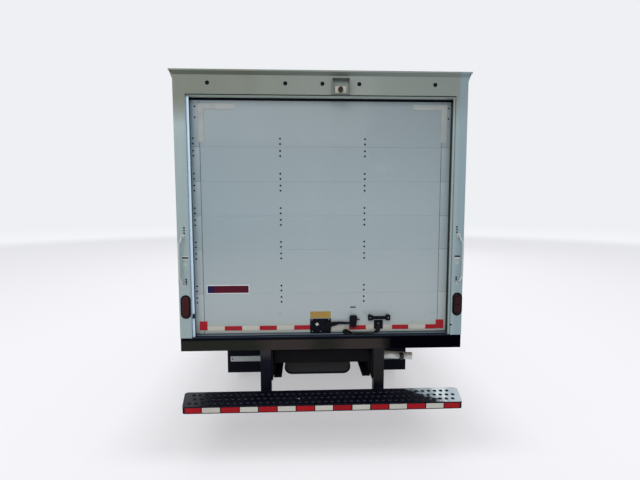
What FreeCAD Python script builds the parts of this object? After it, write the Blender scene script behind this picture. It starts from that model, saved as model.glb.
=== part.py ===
"""Low-cab-forward box truck: load body with a roll-up rear door, chassis, wheels and tilting cab."""
import FreeCAD, Part
import math
import os
import re

import Sketcher

from FreeCAD import Placement, Rotation, Vector

# Driving sizes, in millimetres and degrees
SIZES = (
    ("body_width", 2438, "outside width of the load body"),
    ("body_length", 4877, "rear frame face to front wall face"),
    ("floor_height", 1050, "load floor above the ground"),
    ("body_height", 2229, "load floor to the top of the rear header"),
    ("wall_thick", 30, "side and front walls"),
    ("skin_inset", 6, "wall skin behind the side rails' faces"),
    ("rail_band", 140, "height of the lower and upper side rails"),
    ("roof_thick", 30, "roof"),
    ("roof_drop", 6, "roof below the header's top"),
    ("corner_round", 110, "front corner posts' outside radius"),
    ("deck_thick", 30, "load floor boards"),
    ("bearer_height", 100, "cross bearers under the floor"),
    ("bearer_width", 50, "cross bearers"),
    ("bearer_pitch", 406, "cross bearers' spacing"),
    ("sill_height", 114, "rear sill"),
    ("sill_depth", 150, "rear sill"),
    ("sill_inset", 3, "rear sill's ends inside the body's sides"),
    ("post_width", 97, "rear posts"),
    ("door_recess", 87, "rear frame depth in front of the roll-up door"),
    ("header_height", 196, "rear header"),
    ("flange_side", 22, "drip flange beyond the body's sides"),
    ("flange_rear", 30, "drip flange behind the header"),
    ("flare_drop", 71, "drip flange's corner flares, down from the top"),
    ("flange_thick", 12, "drip flange"),
    ("panel_thick", 20, "roll-up door panels"),
    ("panel_lap", 14, "roll-up door behind the posts"),
    ("panel_bottom", 365, "lowest door panel"),
    ("panel_second", 385, "second door panel"),
    ("panel_height", 293, "other door panels"),
    ("panel_top", 430, "top door panel, up behind the header"),
    ("seam_width", 2, "groove between door panels"),
    ("step_depth", 255, "rear step"),
    ("step_width", 2286, "rear step"),
    ("step_drop", 480, "rear step's tread below the load floor"),
    ("step_height", 60, "rear step"),
    ("step_round", 28, "rear step's corners"),
    ("step_flare", 50, "rear step's ends, wider at the front edge of the plank"),
    ("flap_place", 1416, "mudflaps ahead of the rear frame's face"),
    ("flap_inner", 590, "mudflaps' inner edges from the middle"),
    ("flap_outer", 1098, "mudflaps' outer edges from the middle"),
    ("flap_foot", 140, "mudflaps above the ground"),
    ("flap_thick", 8, "mudflaps"),
    ("camera_left", 76, "camera housing's left side from the middle"),
    ("camera_right", 222, "camera housing's right side from the middle"),
    ("camera_low", 2037, "camera housing above the load floor"),
    ("camera_high", 2165, "camera housing above the load floor"),
    ("camera_deep", 60, "camera housing behind the header"),
    ("camera_wall", 4, "camera housing's walls"),
    ("camera_eye", 18, "camera's radius"),
    ("cross_low", 67, "rear cross member's lower edge below the rails' top"),
    ("cross_high", 50, "rear cross member's upper edge above the rails' top"),
    ("upright_depth", 75, "rear step's uprights"),
    ("upright_width", 92, "rear step's uprights"),
    ("upright_place", 448, "uprights' inner edge from the middle"),
    ("lamp_width", 86, "tail lamps"),
    ("lamp_height", 205, "tail lamps"),
    ("lamp_rise", 270, "tail lamps' centre above the load floor"),
    ("lamp_proud", 14, "tail lamps"),
    ("marker_size", 30, "marker lamps"),
    ("marker_rise", 2130, "marker lamps above the load floor"),
    ("marker_pitch", 305, "three middle marker lamps' spacing"),
    ("marker_outer", 939, "outer marker lamps from the middle"),
    ("grab_rise", 670, "grab handles' middle above the load floor"),
    ("grab_length", 324, "grab handles' bar"),
    ("grab_reach", 45, "grab handles behind the posts"),
    ("grab_bar", 16, "grab handles' bar diameter"),
    ("grab_bend", 22, "grab handles' bends"),
    ("grab_side", 24, "grab handles' bar inside the body's sides"),
    ("grab_foot", 45, "grab handles' feet inside the body's sides"),
    ("grab_slope", 44, "grab handles' feet beyond the bar's ends"),
    ("grab_pad", 20, "grab handles' foot plates, radius"),
    ("wheel_diameter", 771, "tyres, on the ground"),
    ("tyre_width", 215, "tyres"),
    ("tyre_sides", 32, "flats round a tyre"),
    ("rim_diameter", 406, "wheels' bead seat"),
    ("dual_spacing", 249, "twin wheels' centre planes"),
    ("tyre_gap", 161, "rear tyres' inner faces to the chassis rails"),
    ("axle_seat", 255, "rear axle tube's ends inside the twin wheels' middle"),
    ("axle_tube", 60, "rear axle tube's radius"),
    ("axle_spindle", 40, "rear spindles' radius"),
    ("carrier_radius", 175, "differential"),
    ("carrier_half", 85, "differential, half its length"),
    ("nose_length", 125, "differential's nose"),
    ("nose_radius", 95, "differential's nose"),
    ("shaft_radius", 45, "propeller shaft"),
    ("gearbox_back", 940, "gearbox's rear face behind the front axle"),
    ("gearbox_side", 180, "gearbox, half its width"),
    ("gearbox_top", 800, "gearbox above the ground"),
    ("engine_back", 390, "engine's rear face behind the front axle"),
    ("engine_front", 510, "engine's front face ahead of the front axle"),
    ("engine_side", 330, "engine, half its width"),
    ("engine_low", 490, "engine's underside above the ground"),
    ("engine_high", 1090, "engine's top above the ground"),
    ("front_track", 1660, "front wheels' centre planes"),
    ("wheelbase", 3835, "front axle to rear axle"),
    ("rear_overhang", 1900, "rear axle to the rear frame's face"),
    ("king_offset", 110, "king pins inside the front wheels' centre planes"),
    ("frame_width", 864, "outside the chassis rails"),
    ("rail_top", 850, "chassis rails behind the cab"),
    ("rail_height", 200, "chassis rails"),
    ("rail_flange", 70, "chassis rails"),
    ("rail_thick", 8, "chassis rails"),
    ("tank_left", 345, "fuel tank's left side from the middle"),
    ("tank_right", 285, "fuel tank's right side from the middle"),
    ("tank_low", 545, "fuel tank above the ground"),
    ("tank_round", 60, "fuel tank's lower corners"),
    ("rail_dip", 70, "chassis rails' drop under the cab"),
    ("cab_gap", 190, "load body to cab"),
    ("cab_length", 1708, "cab"),
    ("cab_width", 2000, "cab below the windows"),
    ("cab_top", 2290, "cab roof above the ground"),
    ("cab_floor", 950, "cab floor above the ground"),
    ("cab_skin", 45, "cab walls and doors"),
    ("belt_height", 1400, "foot of the side windows' slope"),
    ("roof_inset", 100, "cab side at the roof inside the side below"),
    ("bumper_reach", 70, "front bumper ahead of the cab"),
    ("bumper_low", 360, "front bumper's lower edge"),
    ("bumper_high", 640, "front bumper's upper edge"),
    ("bumper_skin", 25, "front bumper"),
    ("tilt_height", 670, "cab's tilt pivot above the ground"),
    ("tilt_setback", 80, "cab's tilt pivot behind the cab's face"),
    ("door_front", 155, "cab doors' front edge behind the cab's face"),
    ("door_length", 930, "cab doors"),
    ("door_foot", 700, "cab doors' lower edge above the ground"),
    ("door_head", 2110, "cab doors' upper edge above the ground"),
    ("door_gap", 5, "gap round the cab doors"),
    ("arch_radius", 505, "front wheel arches"),
    ("hinge_out", 5, "door hinges' axis outside the cab's side"),
    ("hinge_pin", 5, "door hinge pins' radius"),
    ("hinge_barrel", 10, "door hinge barrels' radius"),
    ("hinge_leaf", 8, "door hinge leaves"),
    ("hinge_half", 20, "door's barrel, half its height"),
    ("hinge_long", 45, "whole hinge, half its height"),
    ("hinge_low", 900, "lower door hinges above the ground"),
    ("hinge_high", 1320, "upper door hinges above the ground"),
    ("tunnel_side", 48, "opening in the cab's back beyond the chassis rails"),
    ("window_front", 80, "side windows' front edge behind the doors'"),
    ("window_back", 70, "side windows' rear edge ahead of the doors'"),
    ("window_head", 60, "side windows' upper edge below the doors'"),
    ("screen_side", 100, "windscreen's lower corners inside the cab's sides"),
    ("screen_low", 1400, "windscreen's lower edge above the ground"),
    ("screen_head", 200, "windscreen's upper edge below the roof"),
    ("light_side", 380, "rear window's lower corners inside the cab's sides"),
    ("light_low", 1560, "rear window's lower edge above the ground"),
    ("light_head", 270, "rear window's upper edge below the roof"),
    ("glass_thick", 6, "windows"),
    ("grille_side", 480, "grille's ends inside the cab's sides"),
    ("grille_low", 730, "grille's lower edge above the ground"),
    ("grille_high", 1010, "grille's upper edge above the ground"),
    ("grille_slot", 40, "grille's slots"),
    ("grille_pitch", 62, "grille's slots"),
    ("head_inner", 440, "front lamps' inner ends inside the cab's sides"),
    ("head_low", 730, "front lamps' lower edge above the ground"),
    ("head_high", 900, "front lamps' upper edge above the ground"),
    ("seat_side", 220, "seats inside the cab's sides"),
    ("seat_part", 260, "middle of the gap between the seats, left of the middle"),
    ("seat_space", 40, "gap between the seats"),
    ("seat_foot", 1200, "seats' underside above the ground"),
    ("seat_top", 1400, "seats above the ground"),
    ("seat_back", 2000, "seat backs above the ground"),
    ("bench_back", 420, "seat backs behind the front axle"),
    ("bench_front", 190, "seats ahead of the front axle"),
    ("wheel_radius", 200, "steering wheel"),
    ("wheel_rim", 15, "steering wheel's rim radius"),
    ("mirror_in", 75, "mirrors beyond the cab's sides"),
    ("mirror_out", 241, "mirrors' outer edges beyond the cab's sides"),
    ("mirror_low", 1480, "mirrors' lower edge above the ground"),
    ("mirror_high", 1830, "mirrors' upper edge above the ground"),
    ("mirror_deep", 70, "mirror housings"),
    ("mirror_bar", 14, "mirror arms' radius"),
    ("stud_radius", 8, "track rod ends' studs"),
    ("cross_over", 2, "cab's drawn outlines past each other where they cross"),
    ("run_gap", 0.3, "running clearance at pins and shafts"),
)

doc = FreeCAD.newDocument("BoxTruck")
sheet = doc.addObject("Spreadsheet::Sheet", "Sizes")
for row, (alias, number, meaning) in enumerate(SIZES, start=1):
    sheet.set("A%d" % row, meaning)
    sheet.set("B%d" % row, str(number))
    sheet.setAlias("B%d" % row, alias)
doc.recompute()
ALIASES = {alias for alias, number, meaning in SIZES}

# Places worked out from the sizes: +X to the truck's right, +Y forward, +Z up, origin under the middle
TOTAL = "(step_depth+body_length+cab_gap+cab_length+bumper_reach)"
REAR = f"(step_depth-{TOTAL}/2)"
BODY_FRONT = f"({REAR}+body_length)"
CAB_BACK = f"({BODY_FRONT}+cab_gap)"
CAB_FACE = f"({CAB_BACK}+cab_length)"
REAR_AXLE = f"({REAR}+rear_overhang)"
FRONT_AXLE = f"({REAR_AXLE}+wheelbase)"
HUB = "(wheel_diameter/2)"
HALF = "(body_width/2)"
INNER = f"({HALF}-wall_thick)"
TOP = "(floor_height+body_height)"
ROOF_TOP = f"({TOP}-roof_drop)"
WALL_TOP = f"({ROOF_TOP}-roof_thick)"
SILL_LOW = "(floor_height-sill_height)"
HEAD_LOW = f"({TOP}-header_height)"
POST_IN = f"({HALF}-post_width)"
DOOR_BACK = f"({REAR}+door_recess)"
BEARER_TOP = "(floor_height-deck_thick)"
BEARER_LOW = f"({BEARER_TOP}-bearer_height)"
RAIL_OUT = "(frame_width/2)"
RAIL_IN = f"({RAIL_OUT}-rail_flange)"
RAIL_LOW = "(rail_top-rail_height)"
DIP_TOP = "(rail_top-rail_dip)"
DIP_LOW = f"({RAIL_LOW}-rail_dip)"
TILT_Y = f"({CAB_FACE}-tilt_setback)"
KING = "(front_track/2-king_offset)"
TREAD = "(floor_height-step_drop)"
DOOR_Y = f"({CAB_FACE}-door_front)"
REAR_TRACK = "(frame_width+2*tyre_gap+dual_spacing+tyre_width)"
PIPE_X = f"({RAIL_OUT}+tyre_gap/2)"
HINGE_Y = f"({DOOR_Y}+door_gap)"
SIDE = "(cab_width/2)"
LINING = f"({SIDE}-cab_skin)"


def bind(text):
    """An expression on the sheet, with each size's name turned into its cell's."""
    def cell(word):
        return "Sizes." + word.group() if word.group() in ALIASES else word.group()
    return re.sub(r"[a-z_]+", cell, str(text))


def val(text):
    """The number that an expression gives now."""
    return float(sheet.evalExpression(bind(text)))


def box(xs, ys, zs):
    """A block between two planes along each axis."""
    piece = doc.addObject("Part::Box", "Block")
    for side, axis, (low, high) in zip(("Length", "Width", "Height"), "xyz", (xs, ys, zs)):
        piece.setExpression(side, bind(f"({high})-({low})"))
        piece.setExpression(f"Placement.Base.{axis}", bind(low))
    return piece


TURNS = {"X": Rotation(Vector(0, 1, 0), 90), "Y": Rotation(Vector(1, 0, 0), -90), "Z": Rotation()}


def rod(axis, centre, span, radius):
    """A round bar along an axis, from one end of span to the other."""
    piece = doc.addObject("Part::Cylinder", "Rod")
    piece.Placement = Placement(Vector(), TURNS[axis])
    piece.setExpression("Radius", bind(radius))
    piece.setExpression("Height", bind(f"({span[1]})-({span[0]})"))
    place = list(centre)
    place.insert("XYZ".index(axis), span[0])
    for name, expression in zip("xyz", place):
        piece.setExpression(f"Placement.Base.{name}", bind(expression))
    return piece


PLANES = {"X": "YZ_Plane", "Y": "XZ_Plane", "Z": "XY_Plane"}


def prism(axis, outline, span):
    """A padded sketch whose corners are bound to the sheet."""
    body = doc.addObject("PartDesign::Body", "Section")
    sketch = body.newObject("Sketcher::SketchObject", "Outline")
    plane = [item for item in body.Origin.OriginFeatures if item.Role == PLANES[axis]][0]
    sketch.AttachmentSupport = (plane, [""])
    sketch.MapMode = "FlatFace"
    corners = [(val(a), val(b)) for a, b in outline]
    count = len(corners)
    for index in range(count):
        start, end = corners[index], corners[(index + 1) % count]
        line = Part.LineSegment(Vector(start[0], start[1], 0), Vector(end[0], end[1], 0))
        sketch.addGeometry(line, False)
    for index in range(count):
        sketch.addConstraint(Sketcher.Constraint("Coincident", index, 2, (index + 1) % count, 1))
    for index, corner in enumerate(outline):
        for kind, number, expression in zip(("DistanceX", "DistanceY"), corners[index], corner):
            rule = sketch.addConstraint(Sketcher.Constraint(kind, -1, 1, index, 1, number))
            sketch.setExpression(f"Constraints[{rule}]", bind(expression))
    foot = f"-({span[1]})" if axis == "Y" else span[0]
    sketch.setExpression("AttachmentOffset.Base.z", bind(foot))
    pad = body.newObject("PartDesign::Pad", "Pad")
    pad.Profile = sketch
    pad.setExpression("Length", bind(f"({span[1]})-({span[0]})"))
    return body


def fuse(pieces):
    """Pieces that touch, joined."""
    whole = doc.addObject("Part::MultiFuse", "Joined")
    whole.Shapes = pieces
    whole.Refine = True
    return whole


def cut(base, tool):
    """One piece less another."""
    rest = doc.addObject("Part::Cut", "Rest")
    rest.Base = base
    rest.Tool = tool
    return rest


def mirrored(piece):
    """The same piece on the other side of the truck."""
    twin = doc.addObject("Part::Mirroring", "Twin")
    twin.Source = piece
    twin.Normal = Vector(1, 0, 0)
    twin.Base = Vector()
    return twin


def group(pieces):
    """Solids of one node that don't touch each other."""
    several = doc.addObject("Part::Compound", "Group")
    several.Links = pieces
    return several


def pair(piece):
    """A piece and its twin on the other side."""
    return group([piece, mirrored(piece)])


def feature(shape):
    """A piece whose shape is made from the sheet's numbers."""
    piece = doc.addObject("Part::Feature", "Formed")
    piece.Shape = shape
    piece.Placement = Placement()
    return piece


NODES = []


def node(name, piece):
    """Names a finished sub-part."""
    piece.Label = name
    NODES.append(piece)
    return piece


def spot(axis, a, b, along=0.0):
    """A point of a drawing square to an axis."""
    return {"X": Vector(along, a, b), "Y": Vector(a, along, b), "Z": Vector(a, b, along)}[axis]


def rounded_face(axis, corners):
    """A flat face from corners (a, b, radius)."""
    points = [spot(axis, val(a), val(b)) for a, b, radius in corners]
    radii = [val(radius) for a, b, radius in corners]
    count = len(points)
    stops = []
    for index, point in enumerate(points):
        back = (points[index - 1] - point).normalize()
        ahead = (points[(index + 1) % count] - point).normalize()
        if radii[index] <= 0:
            stops.append((point, None, point))
            continue
        half = back.getAngle(ahead) / 2
        reach = radii[index] / math.tan(half)
        middle = (back + ahead).normalize() * (radii[index] / math.sin(half) - radii[index])
        stops.append((point + back * reach, point + middle, point + ahead * reach))
    edges = []
    for index, (start, middle, end) in enumerate(stops):
        if middle is not None:
            edges.append(Part.Arc(start, middle, end).toShape())
        following = stops[(index + 1) % count][0]
        if end.distanceToPoint(following) > 0.001:
            edges.append(Part.LineSegment(end, following).toShape())
    return Part.Face(Part.Wire(edges))


def slab(axis, corners, low, high, inset=0):
    """A straight solid with rounded corners, drawn in by inset all round."""
    face = rounded_face(axis, corners)
    if inset:
        face = Part.Face(face.OuterWire.makeOffset2D(-inset))
    ahead = spot(axis, 0, 0, 1)
    face.translate(ahead * val(low))
    return face.extrude(ahead * (val(high) - val(low)))


def spun(profile, place, hand=1):
    """A solid turned about an axle; the profile holds (outward, radius) pairs."""
    points = [Vector(hand * a, 0, r) for a, r in profile]
    face = Part.Face(Part.makePolygon(points + points[:1]))
    turned = face.revolve(Vector(), Vector(1, 0, 0), 360)
    turned.translate(place)
    return turned


def ring_of_flats(profile, place, sides):
    """A ring of flat sectors; the lowest sector lies flat, at the profile's own radii."""
    turn = 2 * math.pi / sides
    rings = []
    for along, radius in profile:
        reach = radius / math.cos(turn / 2)
        ring = []
        for index in range(sides):
            angle = turn * (index + 0.5) - math.pi / 2
            ring.append(place + Vector(along, reach * math.cos(angle), reach * math.sin(angle)))
        rings.append(ring)
    faces = []
    for start, end in zip(rings, rings[1:] + rings[:1]):
        for index in range(sides):
            following = (index + 1) % sides
            corners = [start[index], start[following], end[following], end[index], start[index]]
            faces.append(Part.Face(Part.makePolygon(corners)))
    solid = Part.Solid(Part.Shell(faces))
    if solid.Volume < 0:
        solid.reverse()
    return solid


def both(low, high):
    """A span of the same size on the left of the middle."""
    return (f"-({high})", f"-({low})")


def load_floor():
    """Boards on cross bearers on two long bearers, which lie on the chassis rails."""
    foot = f"{REAR}+sill_depth"
    head = f"{BODY_FRONT}-corner_round"
    pieces = [box((f"-{INNER}", INNER), (foot, head), (BEARER_TOP, "floor_height"))]
    bearers = int((val(head) - val(foot)) // val("bearer_pitch"))
    for index in range(bearers + 1):
        back = f"{foot}+20+{index}*bearer_pitch"
        pieces.append(box((f"-{INNER}", INNER), (back, f"{back}+bearer_width"), (BEARER_LOW, BEARER_TOP)))
    for side in ((RAIL_IN, RAIL_OUT), both(RAIL_IN, RAIL_OUT)):
        pieces.append(box(side, (foot, f"{BODY_FRONT}-wall_thick*2"), ("rail_top", BEARER_LOW)))
    node("load_floor", fuse(pieces))


def side_walls():
    """Skins set in between the lower and the upper rail."""
    skin = f"({HALF}-skin_inset)"
    foot = f"({SILL_LOW}+rail_band)"
    head = f"({WALL_TOP}-rail_band)"
    outline = [(INNER, SILL_LOW), (HALF, SILL_LOW), (HALF, foot), (skin, f"{foot}+skin_inset"),
               (skin, f"{head}-skin_inset"), (HALF, head), (HALF, WALL_TOP), (INNER, WALL_TOP)]
    wall = prism("Y", outline, (DOOR_BACK, f"{BODY_FRONT}-corner_round"))
    node("right_wall", wall)
    node("left_wall", mirrored(wall))


def body_plan(inset=0):
    """Corners of the body's front part seen from above."""
    out = f"({HALF}-{inset})"
    face = f"({BODY_FRONT}-{inset})"
    back = f"({BODY_FRONT}-corner_round)"
    bend = f"(corner_round-{inset}-0.01)"
    return [(f"-{out}", back, "0"), (out, back, "0"), (out, face, bend), (f"-{out}", face, bend)]


def front_wall():
    """A flat wall between round corner posts."""
    outer = slab("Z", body_plan(), SILL_LOW, WALL_TOP)
    inner = slab("Z", body_plan("wall_thick"), SILL_LOW, WALL_TOP)
    node("front_wall", feature(outer.cut(inner)))


def roof():
    """One sheet over the walls, round at the front corners."""
    plan = body_plan()
    plan[0] = (f"-{HALF}", DOOR_BACK, "0")
    plan[1] = (HALF, DOOR_BACK, "0")
    node("roof", feature(slab("Z", plan, WALL_TOP, ROOF_TOP)))


def rear_frame():
    """Posts and header round the rear opening, with the drip flange on top."""
    outline = [(f"-{HALF}", "floor_height"), (f"-{POST_IN}", "floor_height"), (f"-{POST_IN}", HEAD_LOW),
               (POST_IN, HEAD_LOW), (POST_IN, "floor_height"), (HALF, "floor_height"),
               (HALF, f"{TOP}-flange_thick"), (f"-{HALF}", f"{TOP}-flange_thick")]
    frame = prism("Y", outline, (REAR, DOOR_BACK))
    out = f"({HALF}+flange_side)"
    flange = box((f"-{out}", out), (f"{REAR}-flange_rear", DOOR_BACK), (f"{TOP}-flange_thick", TOP))
    flare = prism("Y", [(HALF, f"{TOP}-flare_drop"), (out, f"{TOP}-flange_thick"), (HALF, f"{TOP}-flange_thick")],
                  (REAR, DOOR_BACK))
    lip = prism("X", [(REAR, f"{TOP}-flare_drop/2"), (REAR, f"{TOP}-flange_thick"),
                      (f"{REAR}-flange_rear", f"{TOP}-flange_thick")], (f"-{HALF}", HALF))
    node("rear_frame", fuse([frame, flange, flare, mirrored(flare), lip]))
    sill = f"({HALF}-sill_inset)"
    level = (SILL_LOW, "floor_height")
    node("rear_sill", fuse([box((f"-{sill}", sill), (REAR, DOOR_BACK), level),
                            box((f"-{INNER}", INNER), (DOOR_BACK, f"{REAR}+sill_depth"), level)]))


def roll_up_door():
    """Panels one above the other, with a groove at each seam."""
    face = DOOR_BACK
    back = f"({face}+panel_thick)"
    deep = f"({face}+seam_width*2/3)"
    seams = ["panel_bottom", "(panel_bottom+panel_second)"]
    for index in range(1, 4):
        seams.append(f"(panel_bottom+panel_second+{index}*panel_height)")
    outline = [(back, "floor_height"), (back, f"floor_height+{seams[-1]}+panel_top"),
               (face, f"floor_height+{seams[-1]}+panel_top")]
    for seam in reversed(seams):
        level = f"floor_height+{seam}"
        outline += [(face, f"{level}+seam_width/2"), (deep, level), (face, f"{level}-seam_width/2")]
    outline.append((face, "floor_height"))
    wide = f"({POST_IN}+panel_lap)"
    node("roll_up_door", prism("X", outline, (f"-{wide}", wide)))


def door_latch():
    """Lock plate with its lever and grip, and the pull handle standing off the door."""
    face = DOOR_BACK
    floor = "floor_height"
    plate = box(("-95", "74"), (f"{face}-10", face), (f"{floor}+3", f"{floor}+133"))
    guide = box(("-70", "-20"), (f"{face}-22", f"{face}-10"), (f"{floor}+20", f"{floor}+110"))
    lever = prism("Y", [("30", f"{floor}+64"), ("74", f"{floor}+66"), ("150", f"{floor}+90"), ("250", f"{floor}+88"),
                        ("250", f"{floor}+106"), ("150", f"{floor}+112"), ("74", f"{floor}+108"),
                        ("30", f"{floor}+112")], (f"{face}-30", f"{face}-18"))
    boss = rod("Y", ("52", f"{floor}+88"), (f"{face}-36", f"{face}-10"), "22")
    grip = prism("Y", [("250", f"{floor}+64"), ("292", f"{floor}+64"), ("300", f"{floor}+76"), ("308", f"{floor}+150"),
                       ("300", f"{floor}+168"), ("250", f"{floor}+168"), ("241", f"{floor}+156"),
                       ("241", f"{floor}+76")], (f"{face}-40", f"{face}-18"))
    rest = box(("262", "288"), (f"{face}-18", face), (f"{floor}+100", f"{floor}+128"))
    pin = rod("X", (f"{face}-29", f"{floor}+132"), ("304", "329"), "6")
    bar = prism("Y", [("403", f"{floor}+124"), ("440", f"{floor}+124"), ("452", f"{floor}+134"),
                      ("550", f"{floor}+134"), ("562", f"{floor}+124"), ("599", f"{floor}+124"),
                      ("599", f"{floor}+172"), ("562", f"{floor}+172"), ("550", f"{floor}+162"),
                      ("452", f"{floor}+162"), ("440", f"{floor}+172"), ("403", f"{floor}+172")],
                (f"{face}-46", f"{face}-34"))
    feet = [box(span, (f"{face}-34", face), (f"{floor}+128", f"{floor}+168"))
            for span in (("408", "434"), ("568", "594"))]
    anchor = box(("462", "541"), (f"{face}-8", face), (f"{floor}+38", f"{floor}+115"))
    node("door_latch", group([fuse([plate, guide, boss, lever, grip, rest, pin]), fuse([bar] + feet), anchor]))


def grab_handles():
    """A bar with two bent ends and foot plates on each rear post."""
    low, high = (val(f"floor_height+grab_rise{sign}grab_length/2") for sign in "-+")
    slope, back = val("grab_slope"), val(f"{REAR}-grab_reach")
    bar, foot = val(f"{HALF}-grab_side"), val(f"{HALF}-grab_foot")
    ends = [Vector(foot, val(REAR), low - slope), Vector(foot, val(REAR), high + slope)]
    route = [ends[0], Vector(foot, back, low - slope / 2), Vector(bar, back, low + slope / 2),
             Vector(bar, back, high - slope / 2), Vector(foot, back, high + slope / 2), ends[1]]
    rail = pipe(route, val("grab_bar/2"), val("grab_bend"))
    pads = [Part.makeCylinder(val("grab_pad"), 5, end - Vector(0, 5, 0), Vector(0, 1, 0)) for end in ends]
    inside = Part.makeBox(200, 100, 2000, Vector(foot - 100, val(REAR), low - 500))
    handle = rail.fuse(pads).cut(inside)
    node("grab_handles", feature(Part.makeCompound([handle, handle.mirror(Vector(), Vector(1, 0, 0))])))


def rear_lamps():
    """Upright oval tail lamps on the posts and small round markers on the header."""
    middle = f"({HALF}-post_width/2)"
    straight = "(lamp_height-lamp_width)/2"
    level = "(floor_height+lamp_rise)"
    out, back = f"({REAR}-lamp_proud)", REAR
    ends = [rod("Y", (middle, f"{level}+{sign}*{straight}"), (out, back), "lamp_width/2") for sign in (1, -1)]
    trunk = box((f"{middle}-lamp_width/2", f"{middle}+lamp_width/2"), (out, back),
                (f"{level}-{straight}", f"{level}+{straight}"))
    lamps = [pair(fuse([trunk] + ends))]
    for place in ("-marker_outer", "-marker_pitch", "0", "marker_pitch", "marker_outer"):
        centre = (place, "floor_height+marker_rise")
        lamps.append(rod("Y", centre, (f"{REAR}-8", REAR), "marker_size/2"))
    node("rear_lamps", group(lamps))


def rear_camera():
    """A housing open to the rear with the camera low inside."""
    low, high = "(floor_height+camera_low)", "(floor_height+camera_high)"
    back = f"{REAR}-camera_deep"
    hood = box(("camera_left", "camera_right"), (back, REAR), (low, high))
    hollow = box(("camera_left+camera_wall", "camera_right-camera_wall"), (back, f"{REAR}-camera_wall"),
                 (f"{low}+camera_wall", f"{high}-camera_wall"))
    eye = rod("Y", ("(camera_left+camera_right)/2", f"({low}+camera_deep*2/3)"),
              (f"{REAR}-camera_deep*2/3", f"{REAR}-camera_wall"), "camera_eye")
    node("rear_camera", fuse([cut(hood, hollow), eye]))


def step_bumper():
    """Tread plank with round rear corners on two uprights under the sill."""
    side, back = "(step_width/2)", f"({REAR}-step_depth)"
    wide = f"({side}+step_flare)"
    plan = [(f"-{side}", back, "step_round"), (side, back, "step_round"), (wide, REAR, "step_round"),
            (f"-{wide}", REAR, "step_round")]
    pieces = [feature(slab("Z", plan, f"{TREAD}-step_height", TREAD))]
    for span in (("upright_place", "upright_place+upright_width"),
                 both("upright_place", "upright_place+upright_width")):
        pieces.append(box(span, (REAR, f"{REAR}+upright_depth"), (f"{TREAD}-step_height", SILL_LOW)))
    node("step_bumper", fuse(pieces))


def mudflaps():
    """A hanging flap and its bracket behind each pair of rear wheels."""
    place = f"({REAR}+flap_place)"
    bracket = box((RAIL_OUT, "flap_outer"), (place, f"{place}+40"), ("rail_top-60", "rail_top"))
    flap = box(("flap_inner", "flap_outer"), (f"{place}-flap_thick", place), ("flap_foot", "rail_top"))
    node("mudflaps", pair(fuse([bracket, flap])))


def rail_side(inset):
    """Side outline of a chassis rail that steps down under the cab."""
    back, front = f"({REAR}+90)", f"({CAB_FACE}-150)"
    high, low = f"({CAB_BACK}-20)", f"({CAB_BACK}+380)"
    return [(back, f"{RAIL_LOW}+{inset}"), (high, f"{RAIL_LOW}+{inset}"), (low, f"{DIP_LOW}+{inset}"),
            (front, f"{DIP_LOW}+{inset}"), (front, f"{DIP_TOP}-{inset}"), (low, f"{DIP_TOP}-{inset}"),
            (high, f"rail_top-{inset}"), (back, f"rail_top-{inset}")]


def chassis_frame():
    """Two channel rails, their cross members and the cab's tilt pivots and rear rest."""
    rail = cut(prism("X", rail_side("0"), (RAIL_IN, RAIL_OUT)),
               prism("X", rail_side("rail_thick"), (RAIL_IN, f"{RAIL_OUT}-rail_thick")))
    pieces = [rail, mirrored(rail)]
    web = f"({RAIL_OUT}-rail_thick)"
    pieces.append(box((f"-{web}", web), (f"{REAR}+sill_depth-60", f"{REAR}+sill_depth"),
                      ("rail_top-cross_low", "rail_top+cross_high")))
    for place, level in ((f"{REAR}+1250", "rail_top-110"),
                         (f"{REAR_AXLE}+760", "rail_top-160"), (f"{BODY_FRONT}-900", "rail_top-160"),
                         (f"{CAB_FACE}-230", f"{DIP_TOP}-160")):
        pieces.append(box((f"-{web}", web), (place, f"{place}+60"), (level, f"{level}+100")))
    for hand in (("", ""), ("-", "-")):
        span = (f"{RAIL_IN}", f"{RAIL_OUT}") if hand[0] == "" else both(RAIL_IN, RAIL_OUT)
        ends = (RAIL_IN, f"{RAIL_OUT}+60") if hand[0] == "" else both(RAIL_IN, f"{RAIL_OUT}+60")
        pieces.append(box(span, (f"{CAB_FACE}-150", TILT_Y), ("tilt_height-30", "tilt_height+30")))
        pieces.append(rod("X", (TILT_Y, "tilt_height"), ends, "15"))
        pieces.append(box(span, (f"{CAB_BACK}+20", f"{CAB_BACK}+90"), ("rail_top-40", "cab_floor-45")))
    node("chassis_frame", fuse(pieces))


def leaf(y_mid, z_mid, front, rear, rise, thick):
    """One curved leaf seen from the side, as a face."""
    ends = [Vector(0, y_mid + front, z_mid + rise), Vector(0, y_mid - rear, z_mid + rise)]
    low = Part.Arc(ends[0], Vector(0, y_mid, z_mid), ends[1]).toShape()
    up = Vector(0, 0, thick)
    high = Part.Arc(ends[1] + up, Vector(0, y_mid, z_mid + thick), ends[0] + up).toShape()
    sides = [Part.LineSegment(ends[1], ends[1] + up).toShape(), Part.LineSegment(ends[0] + up, ends[0]).toShape()]
    return Part.Face(Part.Wire([low, sides[0], high, sides[1]]))


def spring(y_mid, seat, reach, rise, hanger_top, x_low, x_high):
    """A pack of three leaves with eyes and the brackets that hold them to the rail."""
    width = x_high - x_low
    pieces = []
    for index in range(3):
        short = 1 - 0.22 * index
        level = seat + 12 * (2 - index)
        face = leaf(y_mid, level, reach * short, reach * short, rise * short * short, 12)
        pieces.append(face.extrude(Vector(width, 0, 0)))
    for way in (1, -1):
        eye = Vector(0, y_mid + way * reach, seat + 24 + rise + 6)
        pieces.append(Part.makeCylinder(24, width, eye, Vector(1, 0, 0)))
        pieces.append(Part.makeBox(width, 60, hanger_top - eye.z, eye - Vector(0, 30, 0)))
    whole = pieces[0].multiFuse(pieces[1:])
    whole.translate(Vector(x_low, 0, 0))
    return whole


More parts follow.
